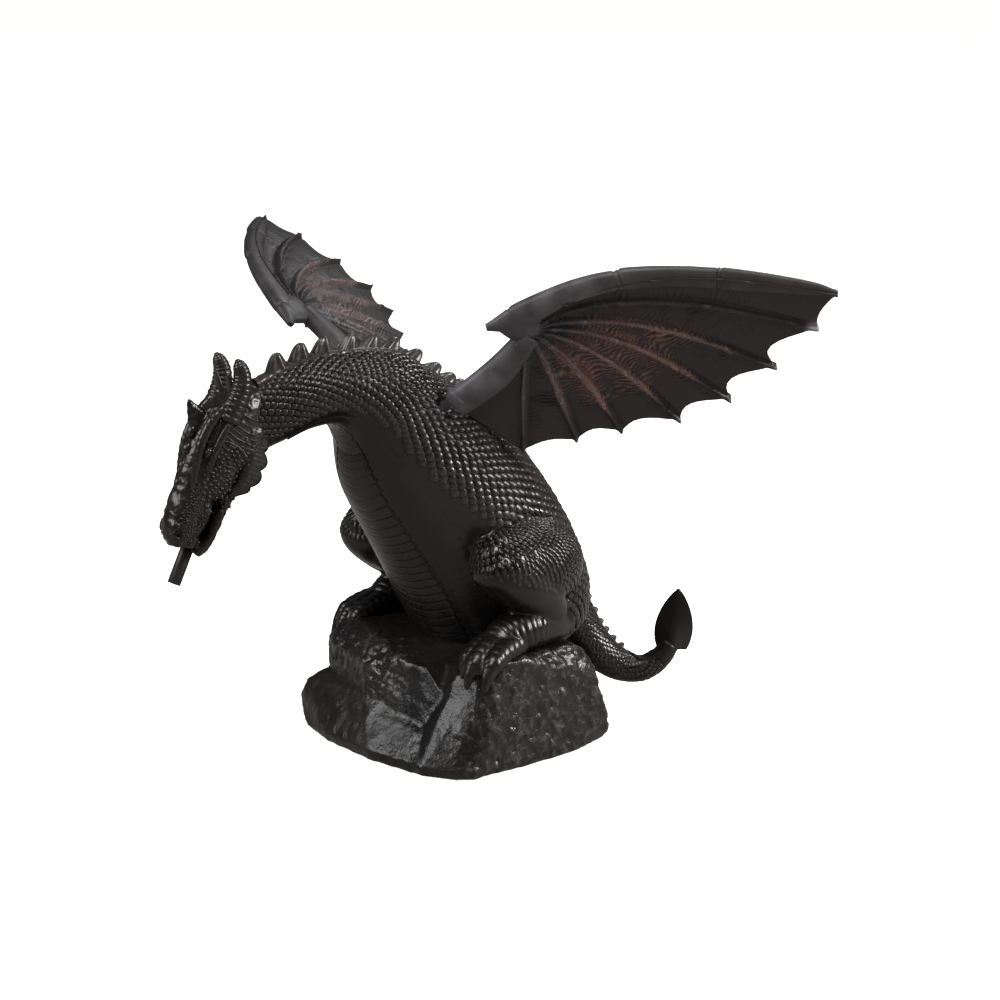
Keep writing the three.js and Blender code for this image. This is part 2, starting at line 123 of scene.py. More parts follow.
# mesh building: a part is an array of points and a list of faces
def gridFaces(rows, columns, closed):
    steps = columns if closed else columns - 1
    r, c = np.meshgrid(np.arange(rows), np.arange(steps), indexing="ij")
    a = (r * columns + c).ravel()
    b = (r * columns + (c + 1) % columns).ravel()
    return np.stack([a, b, b + columns, a + columns], 1).tolist()


def tubeGrid(rows, around):
    # a share along a tube and an angle round it for each of its points
    turns = np.arange(around) * 2 * math.pi / around
    share, angle = np.meshgrid(np.linspace(0, 1, rows + 1), turns, indexing="ij")
    return share.ravel(), angle.ravel()


def tubeFaces(rows, around):
    # the wall of a tube and a cap at each end
    last = rows * around
    caps = [list(range(around))[::-1], list(range(last, last + around))]
    return gridFaces(rows, around, True) + caps


def tube(at, around, rows, relief=None):
    share, angle = tubeGrid(rows, around)
    rise = relief(share, angle) if relief else 0.0
    return onSpine(at, share, angle, rise)[0], tubeFaces(rows, around)


def limb(stations, around=24, rows=30, relief=None):
    return tube(spine(stations)[0], around, rows, relief)


def ball(centre, radii, around=24, rows=14):
    lat = np.linspace(-math.pi / 2, math.pi / 2, rows + 1)[1:-1]
    lat, lon = np.meshgrid(lat, np.arange(around) * 2 * math.pi / around, indexing="ij")
    points = np.stack([np.cos(lat) * np.cos(lon), np.cos(lat) * np.sin(lon), np.sin(lat)], -1)
    points = np.vstack([points.reshape(-1, 3), [[0, 0, -1], [0, 0, 1]]])
    faces = gridFaces(rows - 2, around, True)
    low, high, top = len(points) - 2, len(points) - 1, (rows - 2) * around
    faces += [[low, (i + 1) % around, i] for i in range(around)]
    faces += [[high, top + i, top + (i + 1) % around] for i in range(around)]
    return points * radii + centre, faces


def joined(parts):
    points, faces, base = [], [], 0
    for p, f in parts:
        points.append(p)
        faces += [[i + base for i in face] for face in f]
        base += len(p)
    return np.vstack(points), faces


def meshObject(name, part, fixNormals=True):
    mesh = bpy.data.meshes.new(name)
    mesh.from_pydata((part[0] * mm).tolist(), [], part[1])
    if fixNormals:
        bm = bmesh.new()
        bm.from_mesh(mesh)
        bmesh.ops.recalc_face_normals(bm, faces=bm.faces)
        bm.to_mesh(mesh)
        bm.free()
    mesh.shade_smooth()
    obj = bpy.data.objects.new(name, mesh)
    bpy.context.scene.collection.objects.link(obj)
    return obj


def fused(part, voxel, soften):
    # parts that overlap become one skin, with its joints softened
    obj = meshObject("fusing", part)
    remesh = obj.modifiers.new("skin", "REMESH")
    remesh.mode = "VOXEL"
    remesh.voxel_size = voxel * mm
    smooth = obj.modifiers.new("soften", "SMOOTH")
    smooth.factor = 0.5
    smooth.iterations = soften
    mesh = bpy.data.meshes.new_from_object(obj.evaluated_get(bpy.context.evaluated_depsgraph_get()))
    points = np.empty(len(mesh.vertices) * 3)
    mesh.vertices.foreach_get("co", points)
    faces = [list(p.vertices) for p in mesh.polygons]
    bpy.data.objects.remove(obj)
    bpy.data.meshes.remove(mesh)
    return points.reshape(-1, 3) / mm, faces


def skinTree(part):
    return BVHTree.FromPolygons(part[0].tolist(), part[1])


def normalsOf(part):
    mesh = bpy.data.meshes.new("normals")
    mesh.from_pydata(part[0].tolist(), [], part[1])
    found = np.empty(len(part[0]) * 3)
    mesh.vertices.foreach_get("normal", found)
    bpy.data.meshes.remove(mesh)
    return found.reshape(-1, 3)


def noiseAt(points, size, seed=0.0, octaves=3):
    shift = Vector((seed, seed * 0.7, -seed))
    return np.array([fractal.fractal(Vector(p) / size + shift, 0.6, 2.1, octaves)
                     for p in points.tolist()])


# materials
def linear(hexColor):
    # sRGB hex to linear
    parts = [int(hexColor[i:i + 2], 16) / 255 for i in (1, 3, 5)]
    return *(p / 12.92 if p <= 0.04045 else ((p + 0.055) / 1.055) ** 2.4 for p in parts), 1.0


def addNode(tree, kind, settings=None, inputs=None):
    # one node with its settings, values and links
    node = tree.nodes.new(kind)
    for name, value in (settings or {}).items():
        setattr(node, name, value)
    for name, value in (inputs or {}).items():
        if isinstance(value, bpy.types.NodeSocket):
            tree.links.new(value, node.inputs[name])
        else:
            node.inputs[name].default_value = value
    return node


def newMaterial(name, roughness, ior, specular=0.5, coat=0.0):
    material = bpy.data.materials.new(name)
    material.use_nodes = True
    tree = material.node_tree
    shader = tree.nodes["Principled BSDF"]
    shader.inputs["Roughness"].default_value = roughness
    shader.inputs["IOR"].default_value = ior
    shader.inputs["Specular IOR Level"].default_value = specular
    shader.inputs["Coat Weight"].default_value = coat
    shader.inputs["Coat Roughness"].default_value = 0.2
    return material, tree, shader


def mixed(tree, factor, a, b):
    node = addNode(tree, "ShaderNodeMix", {"data_type": "RGBA"})
    for slotIndex, value in ((0, factor), (6, a), (7, b)):
        if isinstance(value, bpy.types.NodeSocket):
            tree.links.new(value, node.inputs[slotIndex])
        else:
            node.inputs[slotIndex].default_value = value
    return node.outputs[2]


def castResin(name, look):
    # Cast polyester resin with a dark glaze and dry-brush paint on the high parts. It gives the eye
    # a near-black body, paler worn edges, a broken gloss and painted light: black painted shade in
    # the hollows and gaps, painted glints on the rough rock and a painted reflection on the wing
    # bars.
    material, tree, shader = newMaterial(name, look["roughness"], 1.5, 0.3)
    place = addNode(tree, "ShaderNodeTexCoord").outputs["Object"]
    cloud, grain = (
        addNode(tree, "ShaderNodeTexNoise", None, {
            "Vector": place, "Scale": 1 / (look[size] * mm), "Detail": detail}).outputs["Fac"]
        for size, detail in (("cloud", 4.0), ("grain", 3.0)))
    rub_and_glint, pale, hollow = (
        addNode(tree, "ShaderNodeAttribute", {"attribute_name": layer}).outputs["Fac"]
        for layer in ("rub_and_glint", "pale", "hollow"))
    tint = mixed(tree, cloud, linear(look["deep"]), linear(look["body"]))
    amount = addNode(tree, "ShaderNodeMath", {"operation": "MULTIPLY"}, {0: rub_and_glint, 1: grain})
    brushed_and_glint = addNode(tree, "ShaderNodeMapRange", None, {
        "Value": amount.outputs[0], "From Min": 0.12, "From Max": 0.62}).outputs[0]
    # tints laid over the body colour: the dry-brush tint (painted glints on the rock), the pale
    # tone (a painted reflection on the wing bars) and the black of painted shade
    for factor, color in ((brushed_and_glint, "brushed_and_glint"), (pale, "pale"), (hollow, "hollow")):
        tint = mixed(tree, factor, tint, linear(look[color]))
    tree.links.new(tint, shader.inputs["Base Color"])
    gloss = addNode(tree, "ShaderNodeMapRange", None, {
        "Value": cloud, "From Min": 0.3, "From Max": 0.7,
        "To Min": look["roughness"] - 0.07, "To Max": look["roughness"] + 0.09})
    tree.links.new(gloss.outputs[0], shader.inputs["Roughness"])
    bump = addNode(tree, "ShaderNodeBump", None, {
        "Height": grain, "Strength": look["bump"], "Distance": look["bumpDepth"] * mm})
    tree.links.new(bump.outputs["Normal"], shader.inputs["Normal"])
    return material


def setLayer(obj, name, values):
    layer = obj.data.attributes.new(name, "FLOAT", "POINT")
    layer.data.foreach_set("value", np.asarray(values, np.float32))


def finishPiece(obj, material, node):
    obj.data.materials.clear()
    obj.data.materials.append(material)
    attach(obj, "root")
    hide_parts(node)


# camera first, at the photograph's angle
camera = {
    "azimuth": 46.0, "elevation": 14.0, "distance": 1200.0, "target": (0.0, 33.0, 108.5),
    "pixelsPerMm": 2.075, "pixels": 1000, "sensor": 36.0,
}
turn, lift = math.radians(camera["azimuth"]), math.radians(camera["elevation"])
level = math.cos(lift)
towards = Vector((math.sin(turn) * level, -math.cos(turn) * level, math.sin(lift)))
lens = bpy.data.cameras.new("view")
lens.sensor_width = camera["sensor"]
lens.lens = camera["sensor"] * camera["pixelsPerMm"] * camera["distance"] / camera["pixels"]
viewer = bpy.data.objects.new("view", lens)
viewer.location = (Vector(camera["target"]) + towards * camera["distance"]) * mm
viewer.rotation_mode = "QUATERNION"
viewer.rotation_quaternion = towards.to_track_quat("Z", "Y")
bpy.context.scene.collection.objects.link(viewer)
bpy.context.scene.camera = viewer
print("camera placed")

# torso, neck, tail and legs
figure = {
    "torso": [
        [-11, -112, 166, 13, 14], [-7, -103, 171, 14, 15], [-3, -87, 177, 16, 15],
        [0, -69, 178, 18, 16.5],
        [0, -46, 167.5, 25, 25.5], [0, -25, 143, 34, 37], [0, 1, 112, 41, 42.5],
        [0, 20, 84, 45, 44],
        [0, 34, 60, 43, 43], [0, 38, 44, 38, 38],
    ],
    "tail": [
        [0, 40, 66, 24, 26], [1, 60, 60, 18, 20], [5, 75, 45, 12, 13], [13, 85, 27, 9.2, 10],
        [22, 94, 17, 7.4, 8], [31, 101, 15.5, 6.4, 6.6], [38, 108, 21.5, 5.6, 5.6],
        [41, 112, 29, 5, 4.6],
    ],
    "neckEnd": ([-11.5, -112.5, 165.5], [12.2, 11.6, 12.4]),
    "thigh": [[33, 36, 78, 15], [36, 24, 86, 21.5], [38, 10, 89, 23], [42, -4, 93, 19],
              [44, -14, 97, 12]],
    "shin": [[44, -15, 101, 8], [45, -12, 96, 15], [47, 0, 85, 14.5], [47.5, 12, 74, 11.5],
             [47, 21, 64, 9]],
    "heel": [[46, 32, 56, 5], [47, 20, 59, 9]],
    "foot": [[47, 3, 60, 10.5], [46, -10, 57, 9.5], [45, -18, 54, 6]],
    "ankle": [[47, 17, 60, 8.6], [47, 3, 60.4, 11], [46, -8, 57.6, 10.2], [45.5, -15, 55, 8]],
    "farFootBack": 10,
    "toes": (6.4, 5.6, 4.2, 1.2), "finishedToes": (6.6, 6.0, 5.0, 2.8),  # radii, root to end
    "leaf": {"length": 30, "halfWidth": 9.6, "halfThick": 4.0, "turns": (-9, 44),
             "place": (41, 112.5, 26)},
    "socketMouth": {"place": (25, -26.6, 167), "radii": (5.0, 4.2, 5.6),
                    "inward": (-0.8, -0.1, -0.56), "depth": 5.5},
    "voxel": 1.2, "soften": 4, "platePitch": 5.2,
    "scaleShadeReach": 2.6,  # skin this near a scale is painted dark, as the shade between the scales
    "plateArc": ([0.1, 0.26, 0.3, 0.41, 0.5, 0.95], [16, 17, 18, 25, 27, 26]),  # degrees, at shares
}
torsoAt, torsoLength = spine(figure["torso"])
tailAt, tailLength = spine(figure["tail"])


def legParts(side, footBack):
    def placed(stations, back=0.0):
        return [[side * s[0], s[1] + back, *s[2:]] for s in stations]

    parts = [
        limb(placed(figure["thigh"]), 44, 50),
        limb(placed(figure["shin"])),
        limb(placed(figure["heel"]) + placed(figure["foot"], footBack)),
        ball(np.array([side * 45, -13, 97]), np.array([10.6, 10.6, 10.6])),
        ball(np.array([side * 46, 29, 58.5]), np.array([7, 6.5, 6])),
    ]
    toes = [
        [[43, -10, 57], [43, -21, 55], [44, -30, 52], [45, -34.5, 44]],
        [[47, -10, 57], [48, -22, 55], [50, -32, 50.5], [51, -38, 41]],
        [[51, -8, 56], [54, -19, 54], [57, -28, 50], [59, -34.5, 40]],
    ]
    for toe in toes:
        stations = [[*p, r] for p, r in zip(toe, figure["toes"])]
        parts.append(limb(placed(stations, footBack), 18, 24))
    return parts


def leafPart():
    leaf = figure["leaf"]
    share, angle = tubeGrid(39, 28)
    width = np.maximum(np.sin(math.pi * (0.2 + 0.8 * share) ** 0.85) ** 0.7, 0.1)
    width = width * leaf["halfWidth"]
    thick = np.maximum(1 - share, 0.12) * leaf["halfThick"]
    x, z = np.sin(angle), np.cos(angle)
    points = np.stack([x * width, -z * thick * (1.3 - np.abs(x)), share * leaf["length"]], 1)
    tip, twist = (math.radians(a) for a in leaf["turns"])
    spin = Euler((tip, 0, 0)).to_matrix() @ Euler((0, 0, twist)).to_matrix()
    return points @ np.array(spin).T + leaf["place"], tubeFaces(39, 28)


def footDetail(side, footBack):
    # wrinkled ankle, folded toes and smooth claws over the plain foot
    def folds(count, depth):
        def relief(share, angle):
            wave = np.sin(math.pi * count * share + 0.5 * np.sin(3 * angle))
            return depth * (np.abs(wave) ** 0.6 - 1)

        return relief

    def at(stations):
        return [[side * s[0], s[1] + footBack, *s[2:]] for s in stations]

    parts = [limb(at(figure["ankle"]), 44, 90, folds(10, 0.45))]
    toes = [
        [[43, -8, 57], [43, -21, 55], [43.8, -29, 52.4], [44.3, -32, 50]],
        [[47, -8, 57], [48, -22, 55], [49.8, -31, 51], [50.4, -34.5, 48]],
        [[51, -6, 56], [54, -19, 54], [56.6, -27, 50.8], [57.6, -30.5, 47.6]],
    ]
    tips = [[45, -34.6, 44], [51, -37.8, 41], [59, -34.4, 40]]
    for toe, tip in zip(toes, tips):
        stations = [[*p, r] for p, r in zip(toe, figure["finishedToes"])]
        parts.append(limb(at(stations), 28, 70, folds(7, 0.38)))
        parts.append(limb(at([[*toe[2], 3.4], [*toe[3], 2.9], [*tip, 0.7]]), 18, 18))
    return parts


neckEnd = ball(*(np.array(v) for v in figure["neckEnd"]), 40, 24)
bodySkin = fused(joined([
    tube(torsoAt, 72, 150), neckEnd, tube(tailAt, 40, 110),
    *legParts(1, 0), *legParts(-1, figure["farFootBack"]),
]), figure["voxel"], figure["soften"])
mouth = figure["socketMouth"]
inset = (bodySkin[0] - mouth["place"]) / mouth["radii"]
deep = held(1 - np.sum(inset**2, 1)) ** 0.5
bodySkin[0][:] += unit(np.array(mouth["inward"])) * (deep * mouth["depth"])[:, None]
bodyTree = skinTree(bodySkin)
torsoTree = skinTree(tube(torsoAt, 72, 150))
print("body skin", len(bodySkin[1]))


def settled(tree, points, out, reach=4.0):
    # places on the skin under the points, with which of them are found
    found, where, facing = np.zeros(len(points), bool), points.copy(), out.copy()
    for i, (p, n) in enumerate(zip(points, out)):
        hit, normal, _, distance = tree.ray_cast(Vector(p + n * reach), Vector(-n), 2 * reach)
        if hit is not None:
            found[i], where[i], facing[i] = True, hit, normal
    return where, facing, found


# a scale: flat pointed tile, low at its root and raised at its tip, with a bevelled edge
scaleRim = np.array([
    [-0.50, 0, 0.12], [-0.28, 0.33, 0.30], [0.02, 0.46, 0.56], [0.30, 0.32, 0.80], [0.50, 0, 0.92],
    [0.30, -0.32, 0.80], [0.02, -0.46, 0.56], [-0.28, -0.33, 0.30],
])
scaleCrown = np.array([[-0.20, 0, 0.36], [0.04, 0, 0.66], [0.26, 0, 0.90]])
scaleTop = [[0, 1, 8], [1, 2, 9, 8], [2, 3, 10, 9], [3, 4, 10],
            [4, 5, 10], [5, 6, 9, 10], [6, 7, 8, 9], [7, 0, 8]]
scaleFaces = [f[::-1] for f in scaleTop]
for upper, lower in (0, 11), (11, 19):
    scaleFaces += [[upper + i, upper + (i + 1) % 8, lower + (i + 1) % 8, lower + i]
                   for i in range(8)]
scaleFaces.append(list(range(26, 18, -1)))


def scales(points, out, flow, length, width, height):
    # one scale at each place; sizes may differ from place to place
    count = len(points)
    flow = unit(flow - out * np.sum(flow * out, 1)[:, None])
    across = np.cross(out, flow)
    top = scaleRim * [0.92, 0.9, 1]
    shape = np.vstack([
        top, scaleCrown, scaleRim - [0, 0, 0.24], scaleRim * [0.98, 0.98, 0] - [0, 0, 1]])
    wobble = 1 + 0.08 * dice.standard_normal((count, 3))
    length, width, height = (np.broadcast_to(v, count) * wobble[:, i]
                             for i, v in enumerate((length, width, height)))
    lean = 0.10 * dice.standard_normal(count)
    flow, across = flow + across * lean[:, None], across - flow * lean[:, None]
    tilt = shape[None, :, :2] @ (0.16 * dice.standard_normal((count, 2)))[:, :, None]
    lifted = np.maximum(shape[None, :, 2] + tilt[..., 0], -0.2) * height[:, None]
    up = np.where(shape[:, 2] < -0.5, -0.7, lifted)
    verts = (points[:, None] + flow[:, None] * (shape[None, :, :1] * length[:, None, None])
             + across[:, None] * (shape[None, :, 1:2] * width[:, None, None])
             + out[:, None] * up[..., None])
    faces = [[i + k * len(shape) for i in f] for k in range(count) for f in scaleFaces]
    rimHigh = scaleRim[:, 2]
    worn = held(np.concatenate([rimHigh, scaleCrown[:, 2], rimHigh * 1.2, np.zeros(8)]))
    # the sides and feet of each scale are painted dark, as the shade in the gaps between scales
    hollow = np.concatenate([np.zeros(11), np.full(8, 0.55), np.ones(8)])  # top, side, foot
    return (verts.reshape(-1, 3), faces), np.tile(worn, count), np.tile(hollow, count), points


def spineScales(at, length, ends, pitchOf, edgeOf, swingOf, height):
    # rows on a hexagonal lattice down a spine, fanning out as it widens, swung to the belly
    share, places, angles, sizes, row = ends[0], [], [], [], 0
    while share < ends[1]:
        pitch = pitchOf(share)
        half = at(share)[4][0]
        sweep = np.linspace(0, math.pi, 181)
        steps = np.hypot(np.diff(np.sin(sweep)) * half[0], np.diff(np.cos(sweep)) * half[1])
        arc = np.concatenate([[0], np.cumsum(steps)])
        offsets = (np.arange(0, 70) + (0.5 if row % 2 else 0)) * pitch
        angle = np.interp(offsets[offsets < arc[-1]], arc, sweep)
        angle = angle[(angle < edgeOf(share)) & (angle * half[0] > 3.4)]
        for side in (-1, 1):
            places += [share] * len(angle)
            angles += list(side * angle)
            sizes += [pitch] * len(angle)
        share += 0.64 * pitch / length
        row += 1
    share, angle, pitch = map(np.array, (places, angles, sizes))
    points, out, along = onSpine(at, share, angle)
    round2 = unit(np.cross(along, out)) * -np.sign(angle)[:, None]
    swing = np.radians([swingOf(s) for s in share])[:, None]
    flow = along * np.cos(swing) + round2 * np.sin(swing)
    drawn = points
    points, out, found = settled(bodyTree, points, out)
    found &= np.linalg.norm(points - drawn, axis=1) < 1.5
    edge = np.array([edgeOf(s) for s in share])
    fade = held((edge - np.abs(angle)) / math.radians(30)) ** 0.7
    clear = np.sum(((points - mouth["place"]) / mouth["radii"]) ** 2, 1) > 1.1
    keep = found & clear & (fade > 0.1)
    pitch, fade = pitch[keep], fade[keep]
    return scales(points[keep], out[keep], flow[keep],
                  1.14 * pitch, 1.05 * pitch, height * fade * pitch / 4.6)


def torsoPitch(share):
    return float(np.interp(share, [0, 0.25, 0.45, 0.7, 1], [3.3, 3.7, 4.6, 5.0, 4.6]))


def torsoEdge(share):
    return math.radians(float(np.interp(share, [0.1, 0.35, 0.6, 0.85], [124, 120, 106, 104])))


coat = [
    spineScales(torsoAt, torsoLength, (0.004, 0.985), torsoPitch, torsoEdge,
                lambda s: float(np.interp(s, [0.1, 0.3, 0.5], [3, 8, 16])), 1.3),
    spineScales(tailAt, tailLength, (0.12, 0.9),
                lambda s: float(np.interp(s, [0, 0.4, 1], [3.8, 3.2, 2.7])),
                lambda s: math.radians(150), lambda s: 10.0, 0.55),
]


def haunchScales(side):
    centre, radii = np.array([side * 38, 10, 90]), np.array([24.0, 32.0, 26.0])
    pole = unit(np.array([0, 0.55, -0.83]))
    east = unit(np.cross(pole, [side, 0, 0]))
    north = np.cross(east, pole)
    places, flows, sizes = [], [], []
    for row, lat in enumerate(np.radians(np.arange(-84, 60, 5.6))):
        ring = math.cos(lat)
        pitch = 2.5 + 0.7 * max(0, math.sin(lat))
        step = pitch / (27 * ring)
        lons = np.arange(-math.pi / 2 - 0.5, math.pi / 2 + 0.5, step)
        for lon in lons + (0.5 * step if row % 2 else 0):
            spoke = north * math.cos(lon) + east * math.sin(lon)
            places.append(spoke * ring + pole * math.sin(lat))
            flows.append(-spoke * math.sin(lat) + pole * ring)
            sizes.append(pitch)
    unitPlaces = np.array(places)
    points, out = centre + unitPlaces * radii, unit(unitPlaces / radii)
    points, out, found = settled(bodyTree, points, out, 9.0)
    # the scales thin out over the smooth shin, below a line from the knee to the heel
    above = (points[:, 2] - 90) + (points[:, 1] + 12) * 0.35
    low = held((above + 4) / 9)
    onThigh = (side * points[:, 0] > 30) & (points[:, 2] > 62)
    proud = np.zeros(len(points))
    for i, p in enumerate(points):
        near, normal, _, _ = torsoTree.find_nearest(Vector(p))
        proud[i] = (Vector(p) - near).dot(normal)
    keep = found & onThigh & (low > 0.15) & (np.abs(proud) > 1.3)
    pitch = np.array(sizes)[keep]
    return scales(points[keep], out[keep], np.array(flows)[keep],
                  1.5 * pitch, 0.98 * pitch, 0.85 * low[keep] * pitch / 3.4)


coat += [haunchScales(1), haunchScales(-1)]


def bellyPlates():
    # overlapping plates down the front, wider at the lower end so that the seam beside zigzags
    ends, perPlate, columns = (0.06, 0.93), 10, 49
    plates = round(torsoLength * (ends[1] - ends[0]) / figure["platePitch"])
    rows = plates * perPlate
    place = np.arange(rows + 1) / perPlate
    within = place - np.floor(place)
    arc = np.radians(np.interp(ends[0] + (ends[1] - ends[0]) * place / plates, *figure["plateArc"]))
    arc *= 1 + 0.07 * (within**0.7 - 0.5)
    lift = 0.45 + 0.5 * within**0.8 * (1 - held((within - 0.84) / 0.16)) - 0.3 * (within < 0.05)
    spread = np.linspace(-1, 1, columns)
    share = np.repeat(ends[0] + (ends[1] - ends[0]) * place / plates, columns)
    sag = 0.012 * (1 - np.tile(spread, rows + 1) ** 2)
    angle = math.pi + np.repeat(arc, columns) * np.tile(spread, rows + 1)
    edge = held((1 - np.abs(np.tile(spread, rows + 1))) / 0.04)
    rise = np.repeat(lift, columns) * edge - 1.2 * (1 - edge)
    parts = [(onSpine(torsoAt, held(share + sag), angle, rise)[0], gridFaces(rows, columns, False))]
    reach = np.array([0.0, 0.5, 1.1, 2.0, 5.0, 10.0, 16.0, 22.0, 28.0, 34.0])
    height = np.array([-1.2, 0.25, 0.6, 0.7, 0.65, 0.6, 0.5, 0.35, 0.1, -0.7])
    share = np.repeat(ends[0] + (ends[1] - ends[0]) * place / plates, len(reach))
    for side in (-1, 1):
        away = np.repeat(arc, len(reach)) + np.radians(0.7 + np.tile(reach, rows + 1))
        points = onSpine(torsoAt, share, math.pi + side * away, np.tile(height, rows + 1))[0]
        parts.append((points, [f[::side] for f in gridFaces(rows, len(reach), False)]))
    return joined(parts)


def ridgeBand(at, ends, rows, halfWidth, rise):
    profile = np.array([[-1.25, -1.0], [-1.0, 0.25], [-0.86, 0.9], [-0.45, 1.0], [0, 1.15],
                        [0.45, 1.0], [0.86, 0.9], [1.0, 0.25], [1.25, -1.0]])
    share = np.repeat(np.linspace(*ends, rows + 1), len(profile))
    across = np.tile(profile[:, 0], rows + 1)
    taper = np.interp(share, [ends[0], ends[1]], [1, 0.72])
    centre, along, side, back, half = at(share)
    ripple = 1 + 0.10 * np.sin(share * rows * 1.55)
    height = np.tile(profile[:, 1], rows + 1) * rise * ripple
    beside = across * halfWidth * taper
    dip = half[:, 1] * (1 - np.sqrt(np.maximum(1 - (beside / half[:, 0]) ** 2, 0)))
    points = centre + side * beside[:, None] + back * (half[:, 1] - dip + height)[:, None]
    return points, gridFaces(rows, len(profile), False)


def dorsalFin(at, share, size):
    # a thick flame-shaped fin with fluted flanks and a rounded top, leaning to the tail
    rows, around = 16, 32
    v, a = tubeGrid(rows, around)
    centre, along, side, back, half = (q[0] for q in at(share))
    reach = np.sqrt(np.maximum(1 - v**6, 0.0))
    long = (3.3 + 3.3 * (1 - v) ** 1.5) * reach
    wide = (1.5 + 1.6 * (1 - v) ** 0.9) * reach
    flute = 1 + 0.3 * (1 - v) ** 0.5 * np.cos(6 * a)
    lean = 2.2 * v**1.4
    x, y = np.cos(a) * long * (1 + 0.4 * (flute - 1)) + lean, np.sin(a) * wide * flute
    z = v * 9.2 - 0.8
    foot = centre + back * half[1]
    points = foot + (along * x[:, None] + side * y[:, None] + back * z[:, None]) * size
    return points, gridFaces(rows, around, True) + [list(range(around))[::-1]]


fins = []
for at, shares, sizes, count in ((torsoAt, (0.094, 0.843), (1.0, 0.8), 19),
                                 (tailAt, (0.4, 0.68), (0.46, 0.36), 6)):
    fins += [dorsalFin(at, share, size)
             for share, size in zip(np.linspace(*shares, count), np.linspace(*sizes, count))]
bands = [ridgeBand(torsoAt, (0.05, 0.9), 260, 3.9, 1.5),
         ridgeBand(tailAt, (0.18, 0.86), 110, 2.2, 0.8)]
feet = [*footDetail(1, 0), *footDetail(-1, figure["farFootBack"])]
belly = bellyPlates()
body = meshObject("dragon_figure", joined([bodySkin, belly]), False)
# parts with their amount of dry-brush paint and of painted shade; the feet are painted dark for the
# shadow they stand in
trimGroups = [(feet, 0.0, 0.45), (bands, 0.6, 0.0), ([leafPart()], 0.15, 0.0), (fins, 0.6, 0.0)]
trimParts = joined([part for parts, _, _ in trimGroups for part in parts])
trim = meshObject("feet_and_fins", trimParts, False)
trimCounts = [sum(len(part[0]) for part in parts) for parts, _, _ in trimGroups]
setLayer(trim, "rub_and_glint", np.repeat([rub_and_glint for _, rub_and_glint, _ in trimGroups], trimCounts))
setLayer(trim, "hollow", np.repeat([hollow for _, _, hollow in trimGroups], trimCounts))
scaleCoat = meshObject("scale_coat", joined([c[0] for c in coat]), False)
setLayer(scaleCoat, "rub_and_glint", np.concatenate([c[1] for c in coat]) * 0.6)
setLayer(scaleCoat, "hollow", np.concatenate([c[2] for c in coat]))
scalePlaces = np.vstack([c[3] for c in coat])
nearest = KDTree(len(scalePlaces))
for i, place in enumerate(scalePlaces):
    nearest.insert(place, i)
nearest.balance()
# body skin close to a scale centre is painted dark, as the shade in the gaps under the scales
shadedBesideScales = [nearest.find(p)[2] < figure["scaleShadeReach"] for p in bodySkin[0].tolist()]
setLayer(body, "rub_and_glint", np.zeros(len(body.data.vertices)))
setLayer(body, "hollow", np.concatenate([np.array(shadedBesideScales, float), np.zeros(len(belly[0]))]))
print("scales", len(scalePlaces), "body faces", len(body.data.polygons))

